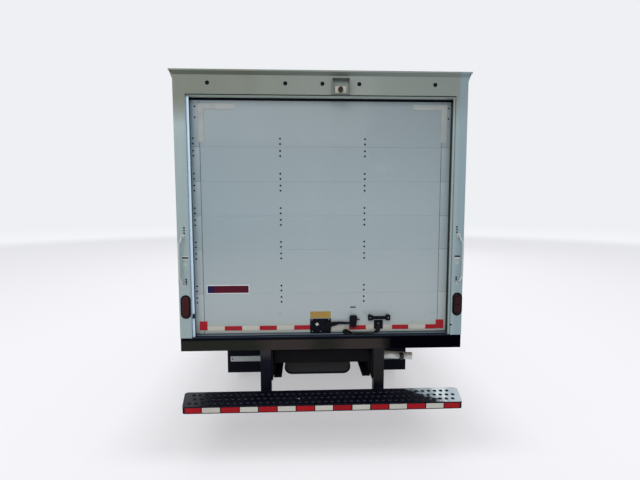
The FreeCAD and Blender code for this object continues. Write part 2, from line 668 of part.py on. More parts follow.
def leaf_springs():
    """Rear and front packs on both sides, between the axles and the rails."""
    middle = val(RAIL_OUT)
    rear = spring(val(REAR_AXLE), val(HUB) + 60, 640, 90, val(RAIL_LOW), middle - 35, middle + 35)
    front = spring(val(FRONT_AXLE), val(HUB) + 40, 560, 60, val(DIP_LOW), middle - 70, middle)
    shapes = []
    for pack in (rear, front):
        shapes += [pack, pack.mirror(Vector(), Vector(1, 0, 0))]
    node("leaf_springs", feature(Part.makeCompound(shapes)))


def rear_axle():
    """Axle tube, differential and propeller shaft."""
    middle = (REAR_AXLE, HUB)
    seat = f"({REAR_TRACK}/2-axle_seat)"
    tube = rod("X", middle, (f"-{seat}", seat), "axle_tube")
    spindle = rod("X", middle, (f"-{REAR_TRACK}/2", f"{REAR_TRACK}/2"), "axle_spindle")
    half, tip = f"({REAR_AXLE}+carrier_half)", f"({REAR_AXLE}+carrier_half+nose_length)"
    carrier = rod("Y", ("0", HUB), (f"{REAR_AXLE}-carrier_half", half), "carrier_radius")
    nose = rod("Y", ("0", HUB), (half, tip), "nose_radius")
    shaft = rod("Y", ("0", HUB), (tip, f"{FRONT_AXLE}-gearbox_back"), "shaft_radius")
    node("rear_axle", fuse([tube, spindle, carrier, nose, shaft]))


def engine():
    """Engine and gearbox as plain blocks at their real place."""
    block = box(("-engine_side", "engine_side"), (f"{FRONT_AXLE}-engine_back", f"{FRONT_AXLE}+engine_front"),
                ("engine_low", "engine_high"))
    gearbox = box(("-gearbox_side", "gearbox_side"), (f"{FRONT_AXLE}-gearbox_back", f"{FRONT_AXLE}-engine_back"),
                  (f"{HUB}-axle_tube", "gearbox_top"))
    node("engine", fuse([block, gearbox]))


def fuel_tank():
    """A tank with round lower corners between the rails, behind the axle, on two straps."""
    def section(grow):
        left, right = f"(-tank_left-{grow})", f"(tank_right+{grow})"
        low, high = f"(tank_low-{grow})", f"({RAIL_LOW}+20)"
        return [(left, high, "0"), (left, low, f"tank_round+{grow}"), (right, low, f"tank_round+{grow}"),
                (right, high, "0")]
    pieces = []
    for place in ("+560", "+900"):
        span = (f"{REAR}{place}", f"{REAR}{place}+40")
        pieces.append(slab("Y", section("6"), *span))
        for ends in ((f"-{RAIL_IN}-20", "-tank_left+10"), ("tank_right-10", f"{RAIL_IN}+20")):
            pieces.append(region(ends, span, (f"{RAIL_LOW}-10", RAIL_LOW)))
    body = slab("Y", section("0"), f"{REAR}+420", f"{REAR}+1080")
    node("fuel_tank", feature(body.multiFuse(pieces)))


def pipe(points, radius, bend):
    """A bent tube along straight runs joined by arcs."""
    edges = []
    start = points[0]
    for index in range(1, len(points) - 1):
        corner = points[index]
        back = (points[index - 1] - corner).normalize()
        ahead = (points[index + 1] - corner).normalize()
        half = back.getAngle(ahead) / 2
        reach = bend / math.tan(half)
        middle = corner + (back + ahead).normalize() * (bend / math.sin(half) - bend)
        edges.append(Part.LineSegment(start, corner + back * reach).toShape())
        edges.append(Part.Arc(corner + back * reach, middle, corner + ahead * reach).toShape())
        start = corner + ahead * reach
    edges.append(Part.LineSegment(start, points[-1]).toShape())
    path = Part.Wire(edges)
    ring = Part.Wire(Part.makeCircle(radius, points[0], (points[1] - points[0])))
    return path.makePipeShell([ring], True, True)


def exhaust():
    """Silencer ahead of the rear wheels and a tail pipe over the axle to the right rear."""
    rear, axle, lane = val(REAR), val(REAR_AXLE), val(PIPE_X)
    silencer = Part.makeCylinder(105, 620, Vector(lane + 88, axle + 720, 600), Vector(0, 1, 0))
    route = [Vector(lane + 68, axle + 730, 640), Vector(lane, axle + 430, 700),
             Vector(lane, rear + 900, 700), Vector(lane + 128, rear + 480, 700), Vector(905, rear + 420, 700)]
    hangers = [region((RAIL_OUT, f"{PIPE_X}+10"), (f"{REAR_AXLE}+{place}", f"{REAR_AXLE}+{place}+30"),
                      (f"{RAIL_LOW}+5", f"{RAIL_LOW}+40")) for place in (800, 1250)]
    hangers.append(region((RAIL_OUT, f"{PIPE_X}-10"), (f"{REAR}+1000", f"{REAR}+1030"),
                          (f"{RAIL_LOW}+40", f"{RAIL_LOW}+60")))
    node("exhaust", feature(silencer.multiFuse(hangers + [pipe(route, 34, 70)])))


def battery_box():
    """Covered battery tray outside the left rail."""
    tray = box(both(RAIL_OUT, f"{RAIL_OUT}+330"), ("200", "760"), ("rail_top-300", "rail_top-20"))
    node("battery_box", tray)


def front_axle():
    """Beam with a boss at each end for the king pins."""
    beam = box((f"-{KING}", KING), (f"{FRONT_AXLE}-35", f"{FRONT_AXLE}+35"), (f"{HUB}-40", f"{HUB}+40"))
    pieces = [beam]
    for side in (KING, f"-{KING}"):
        pieces.append(rod("Z", (side, FRONT_AXLE), (f"{HUB}-45", f"{HUB}+45"), "34"))
    whole = fuse(pieces)
    bores = [rod("Z", (side, FRONT_AXLE), (f"{HUB}-80", f"{HUB}+80"), "14+run_gap") for side in (KING, f"-{KING}")]
    node("front_axle", cut(whole, group(bores)))


def knuckle(name, hand):
    """Fork round the beam's boss, king pin, stub axle and steering arm."""
    lay = (lambda low, high: (low, high)) if hand > 0 else both
    sign = "" if hand > 0 else "-"
    pieces = [rod("Z", (f"{sign}{KING}", FRONT_AXLE), (f"{HUB}-70", f"{HUB}+70"), "14")]
    for low, high in ((f"{HUB}+46", f"{HUB}+70"), (f"{HUB}-70", f"{HUB}-46")):
        pieces.append(box(lay(f"{KING}-28", f"{KING}+42"), (f"{FRONT_AXLE}-32", f"{FRONT_AXLE}+32"), (low, high)))
    pieces.append(box(lay(f"{KING}+42", f"{KING}+60"), (f"{FRONT_AXLE}-45", f"{FRONT_AXLE}+45"),
                      (f"{HUB}-70", f"{HUB}+70")))
    pieces.append(rod("X", (FRONT_AXLE, HUB), lay(f"{KING}+60", f"{KING}+160"), "28"))
    stud = (f"{sign}{KING}", f"{FRONT_AXLE}-190")
    pieces.append(rod("Z", stud, (f"{HUB}-110", f"{HUB}-70"), "stud_radius"))
    pieces.append(rod("Z", stud, (f"{HUB}-110", f"{HUB}-99"), "stud_radius+5"))
    arm = lay(f"{KING}-17", f"{KING}+17")
    pieces.append(box(arm, (f"{FRONT_AXLE}-212", f"{FRONT_AXLE}-32"), (f"{HUB}-70", f"{HUB}-48")))
    node(name, fuse(pieces))


def tie_rod():
    """Bar with an eye round each steering arm's stud."""
    end, level = val(KING), val(f"{HUB}-84-run_gap")
    place = val(f"{FRONT_AXLE}-190")
    whole = Part.makeCylinder(14, 2 * end, Vector(-end, place, level), Vector(1, 0, 0))
    for side in (end, -end):
        whole = whole.fuse(Part.makeCylinder(18, 28, Vector(side, place, level - 14)))
    for side in (end, -end):
        whole = whole.cut(Part.makeCylinder(val("stud_radius+run_gap"), 60, Vector(side, place, level - 30)))
    node("tie_rod", feature(whole))


def tyre_profile():
    """Half of a tyre's section, mirrored: (from the middle, radius)."""
    wide = val("tyre_width") / 2
    tall = val("wheel_diameter") / 2
    bead = val("rim_diameter") / 2 + val("run_gap")
    side = tall - bead
    half = [(76, bead), (wide - 12, bead + side * 0.2), (wide, bead + side * 0.47),
            (wide - 4, bead + side * 0.76), (wide - 18, tall - 10), (wide - 40, tall)]
    return half + [(-a, r) for a, r in reversed(half)]


def rim_profile(mount):
    """A wheel's section: barrel and dished disc with its seat at mount from the middle."""
    seat = val("rim_diameter") / 2
    return [(-84, seat + 12), (-77, seat), (-45, seat), (-35, seat - 21), (35, seat - 21), (45, seat), (77, seat),
            (84, seat + 12), (84, seat + 4), (52, seat - 7), (40, seat - 28), (30, seat - 28), (mount, seat - 85),
            (mount, 60), (mount - 8, 60), (mount - 8, seat - 89), (16, seat - 28), (-40, seat - 28),
            (-52, seat - 7), (-84, seat + 4)]


def wheel(name, hand, place_x, place_y, mount, twin):
    """A tyre or twin tyres, with the wheels and the hub that they turn on."""
    level = val(HUB)
    spacing = val("dual_spacing") if twin else 0
    tyres, rims = [], []
    for offset, side in ((-spacing / 2, 1), (spacing / 2, -1)) if twin else ((0, 1),):
        centre = Vector(hand * (place_x + offset), place_y, level)
        tyres.append(ring_of_flats(tyre_profile(), centre, int(val("tyre_sides"))))
        rims.append(spun(rim_profile(mount), centre, hand * side))
    if twin:
        bore = 40 + val("run_gap")
        hub = [(-250, bore), (-250, 90), (-190, 90), (-190, 160), (-8, 160), (-8, 100), (8, 100), (20, 75),
               (120, 70), (130, 50), (130, 0), (5, 0), (5, bore)]
    else:
        reach = val("king_offset") - 60 - 5
        bore = 28 + val("run_gap")
        hub = [(-reach, bore), (-reach, 150), (10, 150), (10, 75), (mount + 6, 75), (mount + 12, 55),
               (mount + 55, 48), (mount + 60, 40), (mount + 60, 0), (57, 0), (57, bore)]
    centre = Vector(hand * place_x, place_y, level)
    whole = spun(hub, centre, hand).multiFuse(rims)
    node("rim_" + name, feature(whole))
    node("tyre_" + name, feature(Part.makeCompound(tyres)))


def wheels():
    """Single front wheels and twin rear wheels."""
    for name, hand in (("left", -1), ("right", 1)):
        wheel("front_" + name, hand, val("front_track") / 2, val(FRONT_AXLE), 66, False)
        wheel("rear_" + name, hand, val(REAR_TRACK) / 2, val(REAR_AXLE), val("dual_spacing") / 2, True)


def cab_plan():
    """The cab's outline seen from above."""
    return [(f"-{SIDE}", CAB_BACK, "30"), (SIDE, CAB_BACK, "30"), (SIDE, CAB_FACE, "door_front-1"),
            (f"-{SIDE}", CAB_FACE, "door_front-1")]


def cab_hull(inset=0):
    """The cab's outer form, or the same drawn in by inset."""
    high = f"({SIDE}-roof_inset)"
    back, face, side = f"({CAB_BACK}-cross_over)", f"({CAB_FACE}+cross_over)", f"({SIDE}+cross_over)"
    profile = [(back, "590", "0"), (face, "590", "0"), (face, "1290", "120"),
               (f"{CAB_FACE}-230", "cab_top-90", "90"), (f"{CAB_FACE}-420", "cab_top", "160"),
               (back, "cab_top", "90")]
    front = [(f"-{side}", "580", "0"), (side, "580", "0"), (side, "belt_height", "200"),
             (high, "cab_top+1", "100"), (f"-{high}", "cab_top+1", "100"), (f"-{side}", "belt_height", "200")]
    across = slab("X", profile, f"-{SIDE}-10", f"{SIDE}+10", inset)
    along = slab("Y", front, f"{CAB_BACK}-10", f"{CAB_FACE}+10", inset)
    up = slab("Z", cab_plan(), "570", "cab_top+10", inset)
    return across.common(along).common(up)


def region(xs, ys, zs):
    """A plain block used to split the cab's shell."""
    low = Vector(val(xs[0]), val(ys[0]), val(zs[0]))
    return Part.makeBox(val(xs[1]) - low.x, val(ys[1]) - low.y, val(zs[1]) - low.z, low)


def hinge_post(low, high, radius):
    """A round piece on the right door's hinge axis."""
    place = Vector(val(f"{SIDE}+hinge_out"), val(HINGE_Y), low)
    return Part.makeCylinder(radius, high - low, place)


def hinge(level):
    """A right door hinge: the door's part, its room in the frame, the frame's part, its room in the door."""
    half, long, gap = val("hinge_half"), val("hinge_long"), val("run_gap")
    barrel, pin = val("hinge_barrel"), val("hinge_pin")
    room = barrel + val("door_gap")
    leaf_x = (SIDE, f"{SIDE}+hinge_leaf")
    leaf_y = (f"{HINGE_Y}-hinge_long", HINGE_Y)
    plate_y = (HINGE_Y, f"{HINGE_Y}+hinge_long")
    door_part = hinge_post(level - half, level + half, barrel)
    door_part = door_part.fuse(region(leaf_x, leaf_y, (level - half, level + half)))
    door_part = door_part.cut(hinge_post(level - half, level + half, pin + gap))
    frame_room = hinge_post(level - half - gap, level + half + gap, room)
    plate = region(leaf_x, plate_y, (level - long, level + long)).cut(frame_room)
    frame_part = hinge_post(level - long, level + long, pin)
    for low, high in ((level - long, level - half - gap), (level + half + gap, level + long)):
        frame_part = frame_part.fuse(hinge_post(low, high, barrel))
    door_room = hinge_post(level - long - gap, level - half, room)
    door_room = door_room.fuse(hinge_post(level + half, level + long + gap, room))
    return door_part, frame_room, frame_part.fuse(plate), door_room


def to_left(shape):
    """The same shape on the left of the middle."""
    return shape.mirror(Vector(), Vector(1, 0, 0))


def cab():
    """Shell panels, doors, glass, lamps, grille, floor and steps of the tilting cab."""
    skin, gap = val("cab_skin"), val("door_gap")
    hull = cab_hull()
    core = cab_hull(skin)
    core_down = core.fuse(region((f"-{LINING}", LINING), (f"{CAB_BACK}+cab_skin", f"{CAB_FACE}-cab_skin"),
                                 ("500", "720")))
    shell = hull.cut(core_down)
    half = f"({SIDE}+10)"
    door_back = f"({DOOR_Y}-door_length)"
    axle = Vector(-val(half), val(FRONT_AXLE), val(HUB))
    shell = shell.cut(Part.makeCylinder(val("arch_radius"), 2 * val(half), axle, Vector(1, 0, 0)))

    outline = [(door_back, "door_foot", "0"), (DOOR_Y, "door_foot", "0"), (DOOR_Y, "belt_height", "0"),
               (f"{DOOR_Y}-200", "door_head", "40"), (door_back, "door_head", "30")]
    door_hole = slab("X", outline, f"-{half}", half, -gap)
    door_block = slab("X", outline, f"-{half}", half)
    middle = region((f"-{LINING}+130", f"{LINING}-130"), (f"{CAB_BACK}+60", f"{CAB_FACE}-60"), ("600", "cab_top-100"))
    ajar = Part.makeCylinder(val("arch_radius") + gap, 2 * val(half), axle, Vector(1, 0, 0))
    doors = shell.common(door_block).cut(middle).cut(ajar)
    frame = shell.cut(door_hole)

    low, head = f"{door_back}+window_back", "door_head-window_head"
    window = slab("X", [(low, "belt_height", "30"), (f"{DOOR_Y}-window_front", "belt_height-60", "30"),
                        (f"{DOOR_Y}-window_front-175", head, "40"), (low, head, "40")], f"-{half}", half)
    pane = cab_hull((skin - val("glass_thick")) / 2).cut(cab_hull((skin + val("glass_thick")) / 2))
    glass = pane.common(window).cut(middle)
    doors = doors.cut(window)
    right = region(("0", half), (CAB_BACK, CAB_FACE), ("500", "cab_top"))
    door, door_glass = doors.common(right), glass.common(right)
    rooms, fittings = [], []
    for level in (val("hinge_low"), val("hinge_high")):
        door_part, frame_room, frame_part, door_room = hinge(level)
        door = door.cut(door_room).fuse(door_part)
        rooms += [frame_room, to_left(frame_room)]
        fittings += [frame_part, to_left(frame_part)]
    node("door_right", feature(door))
    node("door_glass_right", feature(door_glass))
    node("door_left", feature(to_left(door)))
    node("door_glass_left", feature(to_left(door_glass)))

    low, high = f"({SIDE}-screen_side)", f"({SIDE}-screen_side-roof_inset)"
    head = "cab_top-screen_head"
    screen = slab("Y", [(f"-{low}", "screen_low", "60"), (low, "screen_low", "60"), (high, head, "60"),
                        (f"-{high}", head, "60")], f"{CAB_FACE}-400", f"{CAB_FACE}+10")
    low, high, head = f"({SIDE}-light_side)", f"({SIDE}-light_side-20)", "cab_top-light_head"
    rear_light = slab("Y", [(f"-{low}", "light_low", "40"), (low, "light_low", "40"), (high, head, "40"),
                            (f"-{high}", head, "40")], f"{CAB_BACK}-10", f"{CAB_BACK}+100")
    glazing = cab_hull(12).cut(cab_hull(12 + val("glass_thick")))
    node("cab_glass", feature(Part.makeCompound([glazing.common(screen), glazing.common(rear_light)])))
    frame = frame.cut(screen).cut(rear_light)

    front = (f"{CAB_FACE}-110", f"{CAB_FACE}+1")
    lamp_box = region((f"{SIDE}-head_inner", f"{SIDE}+1"), front, ("head_low", "head_high"))
    lamps = hull.cut(cab_hull(30)).common(lamp_box.fuse(to_left(lamp_box)))
    node("front_lamps", feature(lamps))
    frame = frame.cut(lamps)
    end = f"({SIDE}-grille_side)"
    mouth = region((f"-{end}", end), front, ("grille_low", "grille_high"))
    grille = hull.cut(cab_hull(25)).common(mouth)
    for level in range(4):
        foot = f"grille_low+25+{level}*grille_pitch"
        grille = grille.cut(region((f"-{end}+30", f"{end}-30"), (f"{CAB_FACE}-120", f"{CAB_FACE}+1"),
                                   (foot, f"{foot}+grille_slot")))
    node("grille", feature(grille))
    frame = frame.cut(mouth)

    top = "door_head+door_gap"
    lower = region((f"-{half}", half), (f"{CAB_BACK}-1", f"{CAB_FACE}+1"), ("500", top))
    ahead = region((f"-{half}", half), (f"{DOOR_Y}+door_gap", f"{CAB_FACE}+1"), ("tilt_height", top))
    pillars = region((f"-{half}", half), (f"{CAB_FACE}-620", f"{CAB_FACE}+1"), ("belt_height", top))
    behind = region((f"-{half}", half), (f"{CAB_BACK}-1", f"{door_back}-door_gap"), ("door_foot", top))
    tunnel = region((f"-{RAIL_OUT}-tunnel_side", f"{RAIL_OUT}+tunnel_side"), (f"{CAB_BACK}-1", f"{CAB_BACK}+100"),
                    ("500", "cab_floor-40"))
    node("cab_roof", feature(frame.cut(lower)))
    node("cab_front", feature(frame.common(ahead.fuse(pillars)).cut(rooms[0].multiFuse(rooms[1:]))
                              .multiFuse(fittings)))
    node("cab_back", feature(frame.common(behind).cut(tunnel)))
    cab_floor()


def cab_floor():
    """Floor pan raised over the engine, door sills, steps and the two tilt arms."""
    back, front = f"{CAB_BACK}+cab_skin", f"{CAB_FACE}-cab_skin"
    under_floor = "cab_floor-40"
    pan = feature(slab("Z", cab_plan(), under_floor, "cab_floor", val("cab_skin")))
    bench = box((f"-{LINING}", LINING), (back, f"{FRONT_AXLE}+bench_front+40"), (under_floor, "seat_foot"))
    hump = box(("-engine_side-70", "engine_side+70"), (back, f"{FRONT_AXLE}+engine_front+90"),
               (under_floor, "seat_foot"))
    under = box(("-engine_side-40", "engine_side+40"), (CAB_BACK, f"{FRONT_AXLE}+engine_front+60"),
                ("cab_floor-60", "seat_foot-30"))
    void = box((f"-{LINING}+30", f"{LINING}-30"), (CAB_BACK, f"{FRONT_AXLE}+bench_front+10"),
               ("cab_floor-60", "seat_foot-30"))
    pieces = [cut(cut(fuse([pan, bench, hump]), under), void)]
    step_y = (f"{FRONT_AXLE}+arch_radius+5", front)
    for lay in (lambda low, high: (low, high), both):
        pieces.append(box(lay(f"{LINING}-220", LINING), step_y, ("450", "475")))
        pieces.append(box(lay(f"{LINING}-240", f"{LINING}-220"), step_y, ("450", under_floor)))
        arm = box(lay(f"{RAIL_OUT}+10", f"{RAIL_OUT}+50"), (f"{TILT_Y}-25", f"{TILT_Y}+25"),
                  ("tilt_height", under_floor))
        eye = rod("X", (TILT_Y, "tilt_height"), lay(f"{RAIL_OUT}+10", f"{RAIL_OUT}+50"), "25")
        bore = rod("X", (TILT_Y, "tilt_height"), lay(f"{RAIL_OUT}", f"{RAIL_OUT}+70"), "15+run_gap")
        pieces.append(cut(fuse([arm, eye]), bore))
    node("cab_floor", fuse(pieces))


def cab_inside():
    """Seats and the dashboard with the steering wheel."""
    seats = []
    reach = f"({SIDE}-seat_side)"
    for low, high in ((f"-{reach}", "-seat_part-seat_space/2"), ("-seat_part+seat_space/2", reach)):
        base = box((low, high), (f"{FRONT_AXLE}-bench_back+90", f"{FRONT_AXLE}+bench_front"), ("seat_foot", "seat_top"))
        back = box((low, high), (f"{FRONT_AXLE}-bench_back", f"{FRONT_AXLE}-bench_back+120"), ("seat_top", "seat_back"))
        foot = box((low, high), (f"{FRONT_AXLE}-bench_back", f"{FRONT_AXLE}-bench_back+90"), ("seat_foot", "seat_top"))
        seats.append(fuse([base, back, foot]))
    node("seats", group(seats))
    side = f"({LINING}-20)"
    desk = prism("X", [(f"{CAB_FACE}-430", "1150"), (f"{CAB_FACE}-70", "1050"), (f"{CAB_FACE}-70", "1330"),
                       (f"{CAB_FACE}-330", "1400"), (f"{CAB_FACE}-430", "1340")], (f"-{side}", side))
    doc.recompute()
    ledge = region((f"-{SIDE}", SIDE), (f"{DOOR_Y}+door_gap+10", f"{CAB_FACE}-cab_skin"), ("1100", "1300"))
    inside = cab_hull(val("cab_skin"))
    place = -val("cab_width") / 4
    slope = Vector(0, -0.5, 0.85).normalize()
    foot = Vector(place, val(CAB_FACE) - 400, 1240)
    column = Part.makeCylinder(30, 330, foot, slope)
    hub = foot + slope * 320
    ring_radius, rim = val("wheel_radius"), val("wheel_rim")
    section = [Vector(ring_radius + rim * math.cos(math.pi * step / 3), 0, rim * math.sin(math.pi * step / 3))
               for step in range(6)]
    ring = Part.Face(Part.makePolygon(section + section[:1])).revolve(Vector(), Vector(0, 0, 1), 360)
    ring.Placement = Placement(hub, Rotation(Vector(0, 0, 1), slope))
    spoke = Part.makeBox(2 * ring_radius, 30, 20, hub - Vector(ring_radius, 15, 10))
    shape = desk.Shape.common(inside).multiFuse([ledge.common(inside), column, ring, spoke])
    node("dashboard", feature(shape))


def mirrors():
    """A housing on two arms at each front corner of the cab."""
    front = f"({DOOR_Y}+25)"
    house = region((f"{SIDE}+mirror_in", f"{SIDE}+mirror_out"), (front, f"{front}+mirror_deep"),
                   ("mirror_low", "mirror_high"))
    stem_x, stem_y = val(f"{SIDE}+mirror_in+35"), val(f"{front}+40")
    bar, low, high = val("mirror_bar"), val("mirror_low-40"), val("mirror_high+40")
    stem = Part.makeCylinder(bar, high - low + 2 * bar, Vector(stem_x, stem_y, low - bar))
    start = val(f"{SIDE}-roof_inset")
    arms = [Part.makeCylinder(bar, stem_x - start, Vector(start, stem_y, level), Vector(1, 0, 0))
            for level in (low, high)]
    whole = house.multiFuse([stem] + arms).cut(cab_hull())
    node("mirrors", feature(Part.makeCompound([whole, to_left(whole)])))


def front_bumper():
    """A steel shell round the chassis' front end, on two brackets."""
    face = f"({CAB_FACE}+bumper_reach)"
    wide = "cab_width/2"
    outer = [(f"-{wide}", f"{face}-100", "0"), (wide, f"{face}-100", "0"), (wide, face, "90"), (f"-{wide}", face, "90")]
    inner = [(f"-{wide}+bumper_skin", f"{face}-100", "0"), (f"{wide}-bumper_skin", f"{face}-100", "0"),
             (f"{wide}-bumper_skin", f"{face}-bumper_skin", "65"), (f"-{wide}+bumper_skin", f"{face}-bumper_skin", "65")]
    shell = slab("Z", outer, "bumper_low", "bumper_high").cut(slab("Z", inner, "bumper_low", "bumper_high"))
    pieces = [feature(shell)]
    for span in ((RAIL_IN, RAIL_OUT), both(RAIL_IN, RAIL_OUT)):
        pieces.append(box(span, (f"{CAB_FACE}-150", f"{face}-bumper_skin"), (f"{DIP_LOW}-60", DIP_LOW)))
    node("front_bumper", fuse(pieces))


load_floor()
side_walls()
front_wall()
roof()
rear_frame()
roll_up_door()
door_latch()
grab_handles()
rear_lamps()
rear_camera()
step_bumper()
mudflaps()
chassis_frame()
leaf_springs()
rear_axle()
engine()
fuel_tank()
exhaust()
battery_box()
front_axle()
knuckle("knuckle_left", -1)
knuckle("knuckle_right", 1)
tie_rod()
wheels()
cab()
cab_inside()
mirrors()
front_bumper()
doc.recompute()

for item in doc.Objects:
    if "Invalid" in item.State or "Error" in item.State:
        raise RuntimeError("failed: %s %s" % (item.Name, item.State))
os.makedirs("parts", exist_ok=True)
for item in NODES:
    shape = item.Shape
    if shape.isNull() or not shape.isValid():
        raise RuntimeError("not a valid shape: " + item.Label)
    shape.exportStep("parts/%s.step" % item.Label)
    limits = shape.BoundBox
    print("%-20s %2d solids  X %7.0f %7.0f  Y %7.0f %7.0f  Z %7.0f %7.0f" % (
        item.Label, len(shape.Solids), limits.XMin, limits.XMax, limits.YMin, limits.YMax, limits.ZMin, limits.ZMax))
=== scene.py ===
"""Low-cab-forward box truck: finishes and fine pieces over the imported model."""
import bmesh
import bpy
import math
from mathutils import Euler, Matrix, Vector
from mathutils.bvhtree import BVHTree
from mathutils.geometry import convex_hull_2d


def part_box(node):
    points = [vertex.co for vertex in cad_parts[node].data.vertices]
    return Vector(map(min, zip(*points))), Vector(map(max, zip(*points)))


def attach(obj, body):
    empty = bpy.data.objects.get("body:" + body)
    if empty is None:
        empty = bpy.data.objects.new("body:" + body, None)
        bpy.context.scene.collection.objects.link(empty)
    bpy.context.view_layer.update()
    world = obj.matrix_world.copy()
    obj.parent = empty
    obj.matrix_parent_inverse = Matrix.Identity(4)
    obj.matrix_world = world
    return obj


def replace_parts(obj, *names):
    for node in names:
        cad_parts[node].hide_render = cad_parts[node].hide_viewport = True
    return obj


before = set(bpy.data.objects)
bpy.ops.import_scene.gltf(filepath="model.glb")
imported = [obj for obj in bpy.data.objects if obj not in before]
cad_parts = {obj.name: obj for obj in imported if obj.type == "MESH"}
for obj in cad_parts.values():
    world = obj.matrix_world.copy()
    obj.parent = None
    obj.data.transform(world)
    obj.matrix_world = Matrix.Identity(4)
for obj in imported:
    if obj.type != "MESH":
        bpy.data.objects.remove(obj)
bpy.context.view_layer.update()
scene = bpy.context.scene

# Planes of the truck, from the frame, in metres
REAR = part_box("rear_sill")[0][1]
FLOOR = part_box("rear_sill")[1][2]
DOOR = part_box("roll_up_door")[0][1]
DEEP = DOOR - REAR
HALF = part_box("right_wall")[1][0]
STEP_DROP = 0.480
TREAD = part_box("load_floor")[1][2] - STEP_DROP
STEP_LOW, STEP_HIGH = (Vector(corner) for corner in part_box("step_bumper"))
MM = 0.001


# Finishes

def feed(tree, node, inputs):
    """Gives a node its inputs, each as a socket or a value."""
    for name, value in inputs.items():
        if isinstance(value, bpy.types.NodeSocket):
            tree.links.new(value, node.inputs[name])
        else:
            node.inputs[name].default_value = value


def node_of(tree, kind, inputs=(), **settings):
    """A node with its settings and inputs."""
    made = tree.nodes.new(kind)
    for name, value in settings.items():
        setattr(made, name, value)
    feed(tree, made, dict(inputs))
    return made


def noise(tree, coordinates, scale, detail=4.0, roughness=0.55):
    """Noise of a scale in features a metre."""
    inputs = {"Vector": coordinates, "Scale": scale, "Detail": detail, "Roughness": roughness}
    return node_of(tree, "ShaderNodeTexNoise", inputs).outputs["Fac"]


def ranged(tree, value, low, high, to_low=0.0, to_high=1.0):
    """A value mapped from one range to another and held there."""
    inputs = {"Value": value, "From Min": low, "From Max": high, "To Min": to_low, "To Max": to_high}
    return node_of(tree, "ShaderNodeMapRange", inputs).outputs["Result"]


def math_of(tree, operation, *values):
    """Values, each a socket or a number, joined by an operation."""
    return node_of(tree, "ShaderNodeMath", enumerate(values), operation=operation).outputs[0]


def vector_of(tree, operation, first, second):
    """Two vectors joined by an operation; for SCALE the second is a number."""
    inputs = {0: first, "Scale" if operation == "SCALE" else 1: second}
    return node_of(tree, "ShaderNodeVectorMath", inputs, operation=operation).outputs[0]


def product(tree, *parts):
    """The product of masks and numbers."""
    total = parts[0]
    for part in parts[1:]:
        total = math_of(tree, "MULTIPLY", total, part)
    return total


def blended(tree, factor, first, second):
    """Two colours, each a socket or a tuple, mixed by a factor."""
    first, second = ((*tone, 1.0) if isinstance(tone, tuple) else tone for tone in (first, second))
    return node_of(tree, "ShaderNodeMix", {0: factor, 6: first, 7: second}, data_type="RGBA").outputs[2]


def stretched(tree, coordinates, scale):
    """Coordinates scaled along each axis, for streaks."""
    return node_of(tree, "ShaderNodeMapping", {"Vector": coordinates, "Scale": scale}).outputs["Vector"]


def parts_of(tree, place):
    """Coordinates as across, along and height."""
    return node_of(tree, "ShaderNodeSeparateXYZ", {0: place}).outputs[:]


def within(tree, value, low, high):
    """One where a value lies between two, and nothing elsewhere."""
    return product(tree, math_of(tree, "GREATER_THAN", value, low), math_of(tree, "LESS_THAN", value, high))


def distance(tree, place):
    """How far coordinates lie from their origin."""
    return node_of(tree, "ShaderNodeVectorMath", {0: place}, operation="LENGTH").outputs["Value"]


FINISHES = {}
ROAD_DUST = (0.17, 0.15, 0.125)


def new_material(name):
    """A material, its node tree, its shader and its object coordinates."""
    made = bpy.data.materials.new(name)
    made.use_nodes = True
    tree = made.node_tree
    return made, tree, tree.nodes["Principled BSDF"], node_of(tree, "ShaderNodeTexCoord").outputs["Object"]


def finish(name, slot, base, roughness, metal=0.0, grime=(0.06, 0.055, 0.05), amount=0.25, patch=2.0,
           streak=(1.0, 1.0, 1.0), speck=0.0, grain=90.0, bump=0.08, wear=None, edge=0.003, coat=0.0,
           low_dirt=0.0, shade=None, shine=0.5, coat_shade=None):
    """A weathered surface: grime in patches or streaks, fine grain, worn or softened edges."""
    made, tree, shader, place = new_material(name)
    patches = ranged(tree, noise(tree, stretched(tree, place, streak), patch, 6.0), 0.42, 0.72, 0.0, amount)
    colour = blended(tree, patches, base, grime)
    if shade:
        colour = shade(tree, place, colour)
    if low_dirt:
        near_ground = ranged(tree, parts_of(tree, place)[2], 1.3, 0.2, 0.0, low_dirt)
        colour = blended(tree, product(tree, near_ground, noise(tree, place, 6.0)), colour, ROAD_DUST)
    fine = noise(tree, place, grain, 3.0)
    if speck:
        specks = ranged(tree, noise(tree, place, 260.0, 2.0), 0.62, 0.72, 0.0, speck)
        colour = blended(tree, specks, colour, grime)
    rounded = node_of(tree, "ShaderNodeBevel", {"Radius": edge}, samples=4).outputs["Normal"]
    if wear:
        flat = node_of(tree, "ShaderNodeNewGeometry").outputs["Normal"]
        facing = node_of(tree, "ShaderNodeVectorMath", {0: rounded, 1: flat}, operation="DOT_PRODUCT")
        rubbed = product(tree, ranged(tree, facing.outputs["Value"], 0.985, 0.86),
                         ranged(tree, noise(tree, place, 30.0), 0.45, 0.6))
        colour = blended(tree, rubbed, colour, wear)
    relief = node_of(tree, "ShaderNodeBump", {"Strength": bump, "Distance": 0.002,
                                              "Height": fine, "Normal": rounded})
    rough = math_of(tree, "ADD", ranged(tree, fine, 0.3, 0.7, roughness - 0.05, roughness + 0.07),
                    product(tree, patches, 0.5))
    feed(tree, shader, {"Base Color": colour, "Roughness": rough, "Normal": relief.outputs["Normal"],
                        "Metallic": metal, "Specular IOR Level": shine, "Coat Weight": coat,
                        "Coat Roughness": 0.06})
    if coat_shade:
        feed(tree, shader, {"Coat IOR": 1.9, "Coat Weight": coat_shade(tree, place)})
    FINISHES[name] = (made, slot)


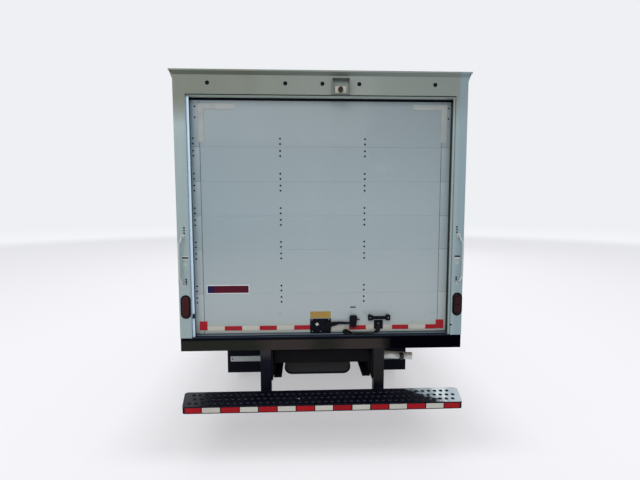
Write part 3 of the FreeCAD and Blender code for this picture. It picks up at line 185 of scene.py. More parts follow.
def clear_finish(name, slot, tint, roughness):
    """Glass or a clear lens."""
    made, tree, shader, place = new_material(name)
    smear = noise(tree, place, 5.0)
    colour = blended(tree, ranged(tree, smear, 0.4, 0.8, 0.0, 0.25), tint,
                     tuple(0.85 * part for part in tint))
    rough = ranged(tree, smear, 0.4, 0.8, roughness, roughness + 0.05)
    feed(tree, shader, {"Base Color": colour, "Roughness": rough, "Transmission Weight": 1.0, "IOR": 1.12})
    FINISHES[name] = (made, slot)


def frame_shade(tree, place, colour):
    """Painted shade on the header and the opening's right side, painted light on its left side and head."""
    across, along, height = parts_of(tree, place)
    header = ranged(tree, height, FLOOR + 1.80, FLOOR + 2.02)
    left_end = ranged(tree, across, 0.35, -0.7)
    outer = ranged(tree, across, 1.135, 1.165)
    inside = math_of(tree, "GREATER_THAN", along, REAR + 0.004)
    deep_inside = math_of(tree, "GREATER_THAN", along, REAR + 0.62 * DEEP)
    head = within(tree, height, FLOOR + 2.025, FLOOR + 2.036)
    # Painted shade: the header darker and greener, most at its left end, and the opening's right side;
    # painted light on its left side and head
    for mask, tone in (
            ((header,), (0.176, 0.206, 0.186)),
            ((header, left_end), (0.104, 0.124, 0.092)),
            ((outer, 0.6), (0.205, 0.300, 0.350)),
            ((within(tree, across, -1.132, -1.118), inside), (0.60, 0.78, 0.90)),
            ((within(tree, across, 1.118, 1.132), deep_inside), (0.085, 0.090, 0.080)),
            ((within(tree, across, -1.130, 1.130), inside, head), (0.50, 0.58, 0.52))):
        colour = blended(tree, product(tree, *mask), colour, tone)
    return colour


def door_shade(tree, place, colour):
    """Painted shade at the top and left, painted light low down, a painted highlight streak on the right, and
    dirt and pale splashes along the foot.
    """
    across, _, height = parts_of(tree, place)
    moved = node_of(tree, "ShaderNodeMapping", {"Vector": place, "Location": (-0.54, 0.0, -(FLOOR + 1.448))})
    slanted = node_of(tree, "ShaderNodeMapping",
                      {"Vector": moved.outputs["Vector"], "Scale": (7.5, 0.0, 24.0),
                                                  "Rotation": (0.0, math.radians(-33), 0.0)})
    streak_highlight = product(tree, ranged(tree, distance(tree, slanted.outputs["Vector"]), 1.0, 0.2),
                    ranged(tree, noise(tree, place, 26.0, 5.0), 0.45, 0.62, 0.0, 0.18))
    foot = product(tree, ranged(tree, height, FLOOR + 0.135, FLOOR + 0.045, 0.0, 0.62),
                   ranged(tree, noise(tree, place, 9.0, 4.0), 0.30, 0.60, 0.5, 1.0))
    spots = product(tree, ranged(tree, noise(tree, place, 11.0, 3.0), 0.66, 0.74, 0.0, 0.35),
                    ranged(tree, height, FLOOR + 0.42, FLOOR + 0.20))
    # Painted shade at the top and left, painted light low down, then the painted highlight streak; the foot's
    # dirt and splashes are the door's own
    for mask, tone in (
            (ranged(tree, height, FLOOR + 1.1, FLOOR + 2.0, 0.0, 0.80), (0.179, 0.223, 0.240)),
            (ranged(tree, across, -0.1, -1.1, 0.0, 0.55), (0.220, 0.285, 0.318)),
            (ranged(tree, height, FLOOR + 0.9, FLOOR + 0.3, 0.0, 0.75), (0.391, 0.440, 0.451)),
            (streak_highlight, (0.52, 0.60, 0.63)),
            (foot, (0.385, 0.390, 0.315)),
            (spots, (0.22, 0.26, 0.26))):
        colour = blended(tree, mask, colour, tone)
    return colour


def lens_shade(tree, place, colour):
    """Painted shade on the right tail lamp, darker than the left."""
    across = parts_of(tree, place)[0]
    return blended(tree, ranged(tree, across, -0.1, 0.1, 0.0, 0.85), colour, (0.008, 0.001, 0.002))


def tread_masks(tree, place):
    """The tread's top, and the zones of painted reflection at its right end and at its left."""
    across, along, height = parts_of(tree, place)
    top = product(tree, math_of(tree, "GREATER_THAN", height, TREAD - 0.0015),
                  math_of(tree, "LESS_THAN", along, REAR - 0.001))
    slope = math_of(tree, "ADD", across, product(tree, math_of(tree, "SUBTRACT", along, REAR - 0.10), 0.9))
    ragged = product(tree, math_of(tree, "SUBTRACT", noise(tree, place, 24.0, 3.0), 0.5), 0.36)
    right = ranged(tree, math_of(tree, "ADD", slope, ragged), 0.79, 0.93)
    return top, right, ranged(tree, across, -0.92, -1.08, 0.0, 0.16)


def step_gloss(tree, place):
    """Gloss on the tread's right end, and little elsewhere."""
    top, right, left = tread_masks(tree, place)
    gloss = math_of(tree, "MAXIMUM", product(tree, right, 0.35), left)
    return product(tree, top, math_of(tree, "MAXIMUM", gloss, 0.04))


def step_shade(tree, place, colour):
    """A painted reflection, pale on the tread's right end and faint at its left, and lighter tones on the
    uprights.
    """
    top, right, left = tread_masks(tree, place)
    across, _, height = parts_of(tree, place)
    right_upright = product(tree, ranged(tree, height, TREAD + 0.04, TREAD + 0.09),
                            ranged(tree, across, 0.20, 0.30))
    left_upright = product(tree, ranged(tree, height, FLOOR - 0.21, FLOOR - 0.15),
                           ranged(tree, across, -0.20, -0.30))
    for mask, tone in ((product(tree, top, product(tree, right, 0.94)), (0.580, 0.690, 0.760)),
                       (product(tree, top, left), (0.06, 0.075, 0.09)),
                       (right_upright, (0.0185, 0.0175, 0.0185)),
                       (left_upright, (0.030, 0.028, 0.031))):
        colour = blended(tree, mask, colour, tone)
    return colour


def sill_shade(tree, place, colour):
    """Brown painted reflections on the sill's left and middle, near black at its right, painted light on its
    top and top edge.
    """
    across, along, height = parts_of(tree, place)
    ragged = product(tree, math_of(tree, "SUBTRACT", noise(tree, place, 5.0), 0.5), 0.12)
    across = math_of(tree, "ADD", across, ragged)
    # Painted reflection: brown lobes on the face's left and middle
    for centre, reach in ((-0.31, 0.30), (0.33, 0.26)):
        near = math_of(tree, "ABSOLUTE", math_of(tree, "SUBTRACT", across, centre))
        colour = blended(tree, ranged(tree, near, reach, reach * 0.4, 0.0, 0.85), colour,
                         (0.046, 0.036, 0.036))
    edge = ranged(tree, height, FLOOR - 0.006, FLOOR - 0.003)
    below = math_of(tree, "SUBTRACT", ranged(tree, across, 0.50, 0.60), edge)
    lit_top_band = product(tree, edge, within(tree, along, REAR + 0.10 * DEEP, REAR + 0.36 * DEEP),
                   ranged(tree, noise(tree, place, 4.0, 3.0), 0.35, 0.60, 0.35, 1.0))
    # Darker upper face, painted highlight on the top edge, near black at the right, painted light on a band
    # of the top
    for mask, tone in ((ranged(tree, height, FLOOR - 0.018, FLOOR - 0.030, 1.0, 0.0), (0.004, 0.004, 0.007)),
                       (edge, (0.014, 0.020, 0.034)),
                       (math_of(tree, "MAXIMUM", below, 0.0), (0.0012, 0.0012, 0.003)),
                       (lit_top_band, (0.050, 0.058, 0.074))):
        colour = blended(tree, mask, colour, tone)
    return colour


def boards(tree, place, colour):
    """Narrow hardwood boards that run along the truck, and the black paint under them."""
    across, _, height = parts_of(tree, place)
    board_width = 0.14
    lane = math_of(tree, "FRACT", product(tree, across, 1 / board_width))
    gap = ranged(tree, math_of(tree, "ABSOLUTE", math_of(tree, "SUBTRACT", lane, 0.5)), 0.47, 0.49)
    grain = noise(tree, stretched(tree, place, (40.0, 1.5, 40.0)), 1.0, 5.0)
    under = ranged(tree, math_of(tree, "SUBTRACT", height, FLOOR - 0.031), 0.0005, -0.0005)
    for mask, tone in ((ranged(tree, grain, 0.35, 0.65), (0.20, 0.12, 0.06)), (gap, (0.02, 0.015, 0.01)),
                       (under, (0.0035, 0.0035, 0.005))):
        colour = blended(tree, mask, colour, tone)
    return colour


def weave(tree, place, colour):
    """Fine cloth checks."""
    checks = node_of(tree, "ShaderNodeTexChecker", {"Vector": place, "Scale": 260.0})
    return blended(tree, checks.outputs["Fac"], colour, (0.035, 0.036, 0.042))


def cells_of(share, tone):
    """A shade with the bright cells of reflective sheet, as far as the share says."""
    def shade(tree, place, colour):
        inputs = {"Vector": place, "Scale": 230.0}
        cells = node_of(tree, "ShaderNodeTexVoronoi", inputs, feature="DISTANCE_TO_EDGE")
        return blended(tree, ranged(tree, cells.outputs["Distance"], 0.02, 0.10, share, 0.0), colour, tone)
    return shade


white_cells = cells_of(0.35, (0.55, 0.50, 0.48))
red_cells = cells_of(0.25, (0.45, 0.03, 0.04))

# The rear's white paint on the door, its edge channels and the frame is written as a bluish grey: painted
# shade of the rear; the sides' body paint is lighter
finish("door paint", "body_paint", (0.300, 0.365, 0.392), 0.40, amount=0.10, patch=1.4,
       streak=(1.6, 1.0, 0.35), grime=(0.215, 0.255, 0.268), bump=0.05, coat=0.12, shade=door_shade)
finish("edge paint", "body_paint", (0.285, 0.343, 0.372), 0.42, amount=0.14, patch=3.0,
       streak=(2.0, 1.0, 0.4), grime=(0.21, 0.24, 0.245), bump=0.05, shade=door_shade)
finish("edge line", "body_paint", (0.085, 0.105, 0.115), 0.6, amount=0.3, patch=9.0, grime=(0.13, 0.14, 0.14),
       bump=0.03, shine=0.1)
finish("faded label", "body_paint", (0.360, 0.430, 0.420), 0.5, amount=0.5, patch=20.0,
       grime=(0.27, 0.33, 0.33), bump=0.03)
finish("sticker red", "lamp_red", (0.080, 0.006, 0.016), 0.4, amount=0.4, patch=20.0,
       grime=(0.045, 0.006, 0.016), bump=0.03, shine=0.1)
finish("sticker blue", "body_paint", (0.010, 0.010, 0.055), 0.4, amount=0.4, patch=20.0,
       grime=(0.016, 0.012, 0.035), bump=0.03, shine=0.1)
finish("edge tape", "body_paint", (0.310, 0.330, 0.325), 0.42, amount=0.4, patch=9.0,
       grime=(0.235, 0.225, 0.22), bump=0.05)
finish("frame paint", "body_paint", (0.285, 0.362, 0.372), 0.40, amount=0.16, patch=1.8,
       streak=(2.0, 2.0, 0.3), grime=(0.19, 0.235, 0.235), bump=0.04, coat=0.1, shade=frame_shade)
finish("body paint", "body_paint", (0.58, 0.61, 0.62), 0.34, amount=0.14, patch=1.2, streak=(1.5, 1.5, 0.25),
       grime=(0.36, 0.36, 0.34), bump=0.04, coat=0.3, low_dirt=0.5)
finish("rail metal", "bare_steel", (0.52, 0.54, 0.55), 0.38, metal=0.85, amount=0.3, patch=3.0,
       grime=(0.25, 0.25, 0.24), low_dirt=0.5)
finish("cab paint", "cab_paint", (0.66, 0.68, 0.69), 0.22, amount=0.08, patch=1.5, grime=(0.42, 0.42, 0.40),
       bump=0.02, coat=0.8, low_dirt=0.45)
finish("sill black", "black_steel", (0.0205, 0.0225, 0.0185), 0.5, amount=0.6, patch=2.2,
       streak=(0.7, 1.0, 1.6), grime=(0.024, 0.024, 0.020), bump=0.08, shine=0.0, shade=sill_shade)
finish("step black", "black_steel", (0.0035, 0.004, 0.010), 0.30, amount=0.5, patch=5.0,
       grime=(0.014, 0.014, 0.020), speck=0.2, bump=0.03, wear=(0.05, 0.05, 0.06), shine=0.05,
       shade=step_shade, coat_shade=step_gloss)
finish("grip steel", "black_steel", (0.010, 0.012, 0.020), 0.30, amount=0.6, patch=9.0,
       grime=(0.004, 0.004, 0.010), speck=0.2, bump=0.05, shine=0.30)
finish("latch black", "black_steel", (0.003, 0.0035, 0.007), 0.34, amount=0.4, patch=16.0,
       grime=(0.010, 0.011, 0.016), speck=0.3, bump=0.08, wear=(0.03, 0.035, 0.05), edge=0.0015, shine=0.07)
finish("chassis black", "chassis_paint", (0.0035, 0.0035, 0.0055), 0.5, amount=0.5, patch=4.0,
       grime=(0.010, 0.009, 0.009), speck=0.2, bump=0.15, low_dirt=0.05, shine=0.05)
finish("tank grey", "chassis_paint", (0.019, 0.020, 0.021), 0.50, amount=0.5, patch=5.0,
       grime=(0.038, 0.037, 0.032), speck=0.3, bump=0.1, shine=0.18)
finish("cast iron", "cast_iron", (0.030, 0.027, 0.025), 0.7, amount=0.6, patch=7.0,
       grime=(0.06, 0.042, 0.028), speck=0.4, bump=0.4, grain=160.0, low_dirt=0.5, shine=0.3)
finish("plated steel", "bare_steel", (0.62, 0.62, 0.60), 0.24, metal=1.0, amount=0.25, patch=12.0,
       grime=(0.30, 0.28, 0.25), bump=0.05)
finish("bright steel", "bare_steel", (0.62, 0.61, 0.59), 0.30, metal=0.7, amount=0.2, patch=16.0,
       grime=(0.35, 0.33, 0.30), bump=0.05)
finish("worn steel", "bare_steel", (0.22, 0.22, 0.22), 0.40, metal=0.9, amount=0.6, patch=14.0,
       grime=(0.06, 0.05, 0.04), bump=0.15)
finish("dull bolt", "bare_steel", (0.16, 0.17, 0.19), 0.40, metal=0.5, amount=0.5, patch=30.0,
       grime=(0.05, 0.05, 0.06), bump=0.1)
finish("dark steel", "bare_steel", (0.045, 0.046, 0.050), 0.45, metal=0.6, amount=0.6, patch=18.0,
       grime=(0.02, 0.02, 0.02), bump=0.15)
finish("pipe steel", "bare_steel", (0.93, 0.94, 0.93), 0.34, metal=0.2, amount=0.6, patch=9.0,
       grime=(0.12, 0.10, 0.08), speck=0.3, bump=0.10)
finish("handle white", "bare_steel", (0.42, 0.46, 0.47), 0.38, metal=0.2, amount=0.25, patch=10.0,
       grime=(0.25, 0.27, 0.27), bump=0.05)
finish("wheel paint", "wheel_paint", (0.60, 0.61, 0.61), 0.42, amount=0.4, patch=7.0,
       grime=(0.26, 0.22, 0.18), speck=0.3, bump=0.12, wear=(0.22, 0.17, 0.13), low_dirt=0.4)
finish("rubber", "flap_rubber", (0.0035, 0.0045, 0.009), 0.62, amount=0.6, patch=6.0,
       grime=(0.009, 0.010, 0.014), bump=0.15, shine=0.07)
# A pale bluish grey rubber, on the door's foot
finish("faded rubber", "flap_rubber", (0.066, 0.086, 0.090), 0.6, amount=0.5, patch=3.0,
       grime=(0.030, 0.040, 0.045))
# The side seals are one rubber in two finishes: painted light, bluish on the left seal and grey on the right
finish("blue seal", "flap_rubber", (0.062, 0.096, 0.130), 0.6, amount=0.5, patch=3.0,
       grime=(0.035, 0.050, 0.066), shine=0.2)
finish("grey seal", "flap_rubber", (0.040, 0.045, 0.037), 0.6, amount=0.5, patch=3.0,
       grime=(0.025, 0.027, 0.022), shine=0.2)
# Painted light: a pale bluish strip standing for light falling on the opening's left side
finish("jamb trim", "body_paint", (0.600, 0.740, 0.850), 0.42, amount=0.2, patch=3.0,
       grime=(0.46, 0.58, 0.68))
# Painted light: the threshold's pale blue stands for light on the sill's top by the door
finish("threshold", "bare_steel", (0.150, 0.195, 0.245), 0.45, amount=0.6, patch=2.5,
       grime=(0.050, 0.070, 0.090))
finish("tyre rubber", "tyre_rubber", (0.012, 0.012, 0.013), 0.80, amount=0.7, patch=9.0,
       grime=(0.035, 0.032, 0.028), speck=0.3, bump=0.35, grain=220.0, shine=0.3)
finish("black plastic", "black_plastic", (0.012, 0.012, 0.014), 0.55, amount=0.35, patch=6.0,
       grime=(0.03, 0.03, 0.03), bump=0.3, grain=420.0, shine=0.35)
finish("trim plastic", "black_plastic", (0.085, 0.088, 0.092), 0.6, amount=0.2, patch=6.0,
       grime=(0.05, 0.05, 0.05), bump=0.3, grain=420.0)
finish("lens red", "lamp_red", (0.040, 0.007, 0.010), 0.16, amount=0.4, patch=20.0,
       grime=(0.018, 0.003, 0.006), bump=0.03, shine=0.12, shade=lens_shade)
finish("led red", "lamp_red", (0.075, 0.012, 0.016), 0.2, amount=0.2, patch=30.0, grime=(0.04, 0.008, 0.010),
       bump=0.02, shine=0.15)
finish("side red", "lamp_red", (0.34, 0.012, 0.016), 0.14, amount=0.2, patch=20.0, grime=(0.14, 0.008, 0.010),
       bump=0.03, coat=0.8)
finish("lens amber", "lamp_red", (0.52, 0.16, 0.015), 0.12, amount=0.1, patch=20.0, bump=0.02, coat=1.0)
finish("tape red", "lamp_red", (0.37, 0.005, 0.010), 0.34, amount=0.75, patch=1.7, grime=(0.15, 0.003, 0.011),
       bump=0.04, shine=0.10, shade=red_cells)
finish("tape pale red", "lamp_red", (0.38, 0.012, 0.022), 0.36, amount=0.5, patch=9.0,
       grime=(0.24, 0.035, 0.045), bump=0.04, shine=0.10, shade=red_cells)
finish("tape white", "body_paint", (0.52, 0.505, 0.445), 0.34, amount=0.5, patch=3.0,
       grime=(0.36, 0.33, 0.29), bump=0.05, coat=0.3, shade=white_cells)
finish("label yellow", "body_paint", (0.34, 0.210, 0.028), 0.45, amount=0.4, patch=12.0,
       grime=(0.22, 0.14, 0.05), bump=0.03)
finish("label white", "body_paint", (0.46, 0.50, 0.50), 0.45, amount=0.3, patch=9.0, grime=(0.32, 0.33, 0.32),
       bump=0.03)
finish("beige plastic", "black_plastic", (0.52, 0.46, 0.38), 0.5, amount=0.3, patch=20.0,
       grime=(0.30, 0.26, 0.21), bump=0.1, grain=300.0)
finish("blank plate", "body_paint", (0.62, 0.64, 0.66), 0.40, amount=0.2, patch=9.0, grime=(0.42, 0.42, 0.42),
       bump=0.03)
finish("deck wood", "deck_wood", (0.34, 0.22, 0.12), 0.6, amount=0.3, patch=3.0, grime=(0.10, 0.08, 0.06),
       bump=0.2, shade=boards)
finish("seat cloth", "seat_cloth", (0.060, 0.062, 0.072), 0.9, amount=0.2, patch=8.0, bump=0.4, grain=500.0,
       shade=weave)
finish("webbing", "seat_cloth", (0.006, 0.006, 0.007), 0.85, amount=0.3, patch=30.0,
       grime=(0.025, 0.022, 0.02), bump=0.6, grain=700.0, shine=0.2)
finish("reflector", "lamp_clear", (0.82, 0.83, 0.84), 0.10, metal=1.0, amount=0.05, patch=20.0, bump=0.02)
finish("mirror glass", "glazing", (0.78, 0.80, 0.81), 0.03, metal=1.0, amount=0.03, patch=20.0, bump=0.0)

clear_finish("window glass", "glazing", (0.78, 0.86, 0.84), 0.02)
clear_finish("clear lens", "lamp_clear", (0.90, 0.92, 0.93), 0.03)

# Finish of each CAD node
NODE_FINISHES = {
    "body paint": "right_wall left_wall front_wall roof",
    "frame paint": "rear_frame rear_camera",
    "door paint": "roll_up_door",
    "deck wood": "load_floor",
    "sill black": "rear_sill",
    "step black": "step_bumper",
    "latch black": "door_latch",
    "handle white": "grab_handles",
    "rubber": "mudflaps",
    "lens red": "rear_lamps",
    "chassis black": "chassis_frame leaf_springs cab_floor",
    "cast iron": "rear_axle front_axle engine knuckle_left knuckle_right tie_rod",
    "tank grey": "fuel_tank",
    "pipe steel": "exhaust",
    "black plastic": "battery_box grille mirrors",
    "trim plastic": "dashboard",
    "cab paint": "front_bumper cab_roof cab_front cab_back door_left door_right",
    "window glass": "cab_glass door_glass_left door_glass_right",
    "clear lens": "front_lamps",
    "seat cloth": "seats",
    "wheel paint": "rim_front_left rim_front_right rim_rear_left rim_rear_right",
    "tyre rubber": "tyre_front_left tyre_front_right tyre_rear_left tyre_rear_right",
}
for finish_name, nodes in NODE_FINISHES.items():
    for node in nodes.split():
        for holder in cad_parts[node].material_slots:
            holder.material = FINISHES[finish_name][0]


# Making pieces

SIDES = ((-1, "left"), (1, "right"))
TO_REAR = (math.pi / 2, 0, 0)
TO_FRONT = (-math.pi / 2, 0, 0)
TO_SIDE = {1: (0, math.pi / 2, 0), -1: (0, -math.pi / 2, 0)}
BACKWARD = Euler(TO_REAR).to_matrix().to_4x4()
FORWARD = Euler(TO_FRONT).to_matrix().to_4x4()


def forms(count):
    """That many empty forms."""
    return [bmesh.new() for _ in range(count)]


def span(side, first, second):
    """Two distances from the middle on one side of the truck, the lower first."""
    return tuple(sorted((side * first, side * second)))


def block(form, low, high, round_off=0.0):
    """Adds a block between two corners, with rounded edges."""
    low, high = Vector(low), Vector(high)
    made = bmesh.ops.create_cube(form, size=1.0)["verts"]
    bmesh.ops.scale(form, verts=made, vec=high - low)
    bmesh.ops.translate(form, verts=made, vec=(low + high) / 2)
    if round_off:
        edges = list({edge for vertex in made for edge in vertex.link_edges})
        bmesh.ops.bevel(form, geom=edges, offset=round_off, segments=2, affect="EDGES", profile=0.6)


def fitted(form, turn, low, high, round_off=0.0):
    """Adds a block in a turned place."""
    count = len(form.verts)
    block(form, low, high, round_off)
    form.verts.ensure_lookup_table()
    bmesh.ops.transform(form, matrix=turn, verts=form.verts[count:])


def skinned(form, rings, ends=True):
    """Adds rings of points with faces between them, and over both ends."""
    rings = [[form.verts.new(point) for point in ring] for ring in rings]
    for first, second in zip(rings, rings[1:]):
        for index in range(len(first)):
            after = (index + 1) % len(first)
            form.faces.new((first[index], first[after], second[after], second[index]))
    if ends:
        form.faces.new(rings[0][::-1])
        form.faces.new(rings[-1])
    return rings


def domed(form, outlines, turn=Matrix()):
    """Adds a closed shape from outlines (points, height), then turned."""
    skinned(form, [[turn @ Vector((x, y, level)) for x, y in points] for points, level in outlines])


def circle(centre, radius, side, up, steps):
    """Points round a centre."""
    angles = [math.tau * step / steps for step in range(steps)]
    return [centre + radius * (side * math.cos(angle) + up * math.sin(angle)) for angle in angles]


def turned(form, profile, centre, axis, steps=32, closed=False):
    """Adds a shape turned about an axis; the profile holds (along, radius)."""
    axis = Vector(axis).normalized()
    side = axis.orthogonal().normalized()
    up = axis.cross(side)
    rings = []
    for along, radius in profile:
        middle = Vector(centre) + axis * along
        points = circle(middle, radius, side, up, steps) if radius > 0 else [middle]
        rings.append([form.verts.new(point) for point in points])
    for first, second in zip(rings, rings[1:] + (rings[:1] if closed else [])):
        for step in range(steps):
            after = (step + 1) % steps
            corners = [ring[place % len(ring)]
                       for ring, place in ((first, step), (first, after), (second, after), (second, step))]
            form.faces.new(tuple(dict.fromkeys(corners)))


def smoothed(path, rounds):
    """A path with its corners cut that many times."""
    for _ in range(rounds):
        finer = [path[0]]
        for start, end in zip(path, path[1:]):
            finer += [start.lerp(end, 0.25), start.lerp(end, 0.75)]
        path = finer + [path[-1]]
    return path


def tube(form, points, radius, steps=10, smooth=0):
    """Adds a round bar along points, with closed ends and its corners cut smooth times."""
    path = smoothed([Vector(point) for point in points], smooth)
    side = (path[1] - path[0]).normalized().orthogonal().normalized()
    rings = []
    for index, point in enumerate(path):
        ahead = (path[min(index + 1, len(path) - 1)] - path[max(index - 1, 0)]).normalized()
        side = (side - ahead * side.dot(ahead)).normalized()
        rings.append(circle(point, radius, side, ahead.cross(side), steps))
    skinned(form, rings)


def loop(form, points, radius, steps=8):
    """Adds a closed loop of round section."""
    rings = []
    side = None
    for index, point in enumerate(points):
        ahead = (points[(index + 1) % len(points)] - points[index - 1]).normalized()
        side = ahead.orthogonal() if side is None else side - ahead * side.dot(ahead)
        side.normalize()
        rings.append(circle(point, radius, side, ahead.cross(side), steps))
    rings = skinned(form, rings, ends=False)
    first, last = rings[0], rings[-1]
    shift = min(range(steps), key=lambda turn: (last[0].co - first[turn].co).length)
    for step in range(steps):
        after = (step + 1) % steps
        form.faces.new((last[step], last[after], first[(after + shift) % steps],
                        first[(step + shift) % steps]))


def capsule(width, height, steps=14):
    """An upright outline with round ends."""
    radius = width / 2
    straight = (height - width) / 2
    points = []
    for end, first in ((1, 0.0), (-1, math.pi)):
        for step in range(steps + 1):
            angle = first + math.pi * step / steps
            points.append((radius * math.cos(angle), end * straight + radius * math.sin(angle)))
    return points


def linked(name, mesh):
    """A new object in the scene."""
    made = bpy.data.objects.new(name, mesh)
    scene.collection.objects.link(made)
    return made


def mesh_of(name, form):
    """A mesh of a form, with its faces pointing outwards."""
    bmesh.ops.recalc_face_normals(form, faces=form.faces)
    mesh = bpy.data.meshes.new(name)
    form.to_mesh(mesh)
    form.free()
    return mesh


def evaluated(made):
    """A plain mesh of an object with its modifiers applied."""
    view = bpy.context.evaluated_depsgraph_get()
    return bpy.data.meshes.new_from_object(made.evaluated_get(view), depsgraph=view)


def bored(form, cutter):
    """The form with the cutter's shapes taken out of it."""
    solid, holes = (linked("Part", mesh_of("Part", part)) for part in (form, cutter))
    modifier = solid.modifiers.new("Holes", "BOOLEAN")
    modifier.operation, modifier.solver, modifier.object = "DIFFERENCE", "EXACT", holes
    made = bmesh.new()
    made.from_mesh(evaluated(solid))
    for shape in (solid, holes):
        bpy.data.objects.remove(shape)
    return made


def dressed(made, finish_name, body):
    """Gives a piece its finish and its body."""
    material, slot = FINISHES[finish_name]
    made.data.materials.clear()
    made.data.materials.append(material)
    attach(made, body)
    return made


def piece(name, form, finish_name, body="chassis", crease=35):
    """A finished piece that rides on a body."""
    mesh = mesh_of(name, form)
    for face in mesh.polygons:
        face.use_smooth = True
    mesh.set_sharp_from_angle(angle=math.radians(crease))
    return dressed(linked(name, mesh), finish_name, body)


# What repeats is made by geometry nodes

def copies_tree(name, sizes, position):
    """A node tree that puts copies of a shape where position says."""
    tree = bpy.data.node_groups.new(name, "GeometryNodeTree")
    for label, kind in (*sizes, ("Shape", "Object"), ("Finish", "Material")):
        tree.interface.new_socket(label, in_out="INPUT", socket_type="NodeSocket" + kind)
    tree.interface.new_socket("Geometry", in_out="OUTPUT", socket_type="NodeSocketGeometry")
    given = node_of(tree, "NodeGroupInput").outputs
    count, where, angle = position(tree, given)
    points = node_of(tree, "GeometryNodePoints", {"Count": count, "Position": where})
    shape = node_of(tree, "GeometryNodeObjectInfo", {"Object": given["Shape"]})
    turn = node_of(tree, "FunctionNodeEulerToRotation", {0: angle})
    placed = node_of(tree, "GeometryNodeInstanceOnPoints", {
        "Points": points.outputs[0], "Instance": shape.outputs["Geometry"], "Rotation": turn.outputs[0]})
    real = node_of(tree, "GeometryNodeRealizeInstances", {0: placed.outputs[0]})
    painted = node_of(tree, "GeometryNodeSetMaterial", {0: real.outputs[0], "Material": given["Finish"]})
    node_of(tree, "NodeGroupOutput", {0: painted.outputs[0]})
    return tree


def in_rows(tree, given):
    """Points in rows and columns, each second row moved by the stagger."""
    index = node_of(tree, "GeometryNodeInputIndex").outputs[0]
    line = math_of(tree, "FLOOR", math_of(tree, "DIVIDE", index, given["Columns"]))
    where = given["Start"]
    for label, share in (("Column step", math_of(tree, "MODULO", index, given["Columns"])),
                         ("Row step", line), ("Stagger", math_of(tree, "MODULO", line, 2.0))):
        where = vector_of(tree, "ADD", where, vector_of(tree, "SCALE", given[label], share))
    return product(tree, given["Columns"], given["Rows"]), where, given["Turn"]


def in_ring(tree, given):
    """Points round an axis that lies along X; the shape faces +Y before it is turned."""
    index = node_of(tree, "GeometryNodeInputIndex").outputs[0]
    angle = math_of(tree, "ADD", given["First"],
                    math_of(tree, "DIVIDE", product(tree, index, math.tau), given["Count"]))
    spoke = node_of(tree, "ShaderNodeCombineXYZ", {
        1: product(tree, given["Radius"], math_of(tree, "COSINE", angle)),
        2: product(tree, given["Radius"], math_of(tree, "SINE", angle))})
    turn = node_of(tree, "ShaderNodeCombineXYZ", {0: angle})
    return given["Count"], vector_of(tree, "ADD", given["Centre"], spoke.outputs[0]), turn.outputs[0]


ROWS = copies_tree("Rows of a shape", (("Columns", "Int"), ("Rows", "Int"), ("Start", "Vector"),
                                       ("Column step", "Vector"), ("Row step", "Vector"),
                                       ("Stagger", "Vector"), ("Turn", "Vector")), in_rows)
RING = copies_tree("Ring of a shape", (("Count", "Int"), ("Radius", "Float"), ("First", "Float"),
                                       ("Centre", "Vector")), in_ring)


def grown(name, finish_name, sizes_list, shape, body="chassis", tree=ROWS):
    """Copies of a shape by a tree, once for each set of sizes, as one plain mesh piece."""
    form = bmesh.new()
    identifiers = {item.name: item.identifier for item in tree.interface.items_tree if item.in_out == "INPUT"}
    for sizes in sizes_list:
        carrier = linked(name + "_points", bpy.data.meshes.new(name))
        modifier = carrier.modifiers.new("Copies", "NODES")
        modifier.node_group = tree
        for label, value in dict(sizes, Shape=shape, Finish=FINISHES[finish_name][0]).items():
            modifier[identifiers[label]] = value
        form.from_mesh(evaluated(carrier))
        bpy.data.objects.remove(carrier)
    bpy.data.objects.remove(shape)
    return piece(name, form, finish_name, body)


def row(start, step=(0, 0, 0), columns=1, turn=(0, 0, 0), rows=1, row_step=(0, 0, 0), stagger=(0, 0, 0)):
    """Sizes for the tree of rows."""
    return {"Columns": columns, "Rows": rows, "Start": tuple(start), "Column step": tuple(step),
            "Row step": tuple(row_step), "Stagger": tuple(stagger), "Turn": tuple(turn)}


def shape_of(*profiles):
    """An object that only serves to be copied, of profiles (points, steps) turned about +Z."""
    form = bmesh.new()
    for profile, steps in profiles:
        turned(form, profile, (0, 0, 0), (0, 0, 1), steps)
    return linked("Shape", mesh_of("Shape", form))


def rivet(radius, height, steps=8):
    """A dome head."""
    profile = [(-0.0005, 0.0), (-0.0005, radius), (height * 0.65, radius * 0.75), (height, 0.0)]
    return shape_of((profile, steps))


def bolt(across, height, washer):
    """A hexagon head on a washer."""
    flat, rim_height = across / 2, height * 0.85
    return shape_of(([(-0.001, 0), (-0.001, washer), (0.002, washer), (0.002, 0)], 12),
                    ([(0, 0), (0, flat), (rim_height, flat), (height, across * 0.42), (height, 0)], 6))


# Fitting pieces onto the CAD surfaces

SURFACES = {}
AHEAD = 4.5
BACKWARDS = (0, -1, 0)


def met(node, start, way):
    """Where a ray first meets a CAD node, and the normal there on the ray's side."""
    if node not in SURFACES:
        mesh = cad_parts[node].data
        SURFACES[node] = BVHTree.FromPolygons([vertex.co for vertex in mesh.vertices],
                                              [face.vertices for face in mesh.polygons])
    point, normal, _, _ = SURFACES[node].ray_cast(Vector(start), Vector(way).normalized())
    if point and normal.dot(Vector(way)) > 0:
        normal = -normal
    return point, normal


def traced(node, starts, way):
    """The points where rays meet a CAD node."""
    return [point for point in (met(node, start, way)[0] for start in starts) if point]


def seated(node, start, way, across=(1, 0, 0)):
    """A place on a CAD node's surface: Z stands off it, X runs along across."""
    point, normal = met(node, start, way)
    side = (Vector(across) - normal * normal.dot(Vector(across))).normalized()
    return Matrix.Translation(point) @ Matrix((side, normal.cross(side), normal)).transposed().to_4x4()


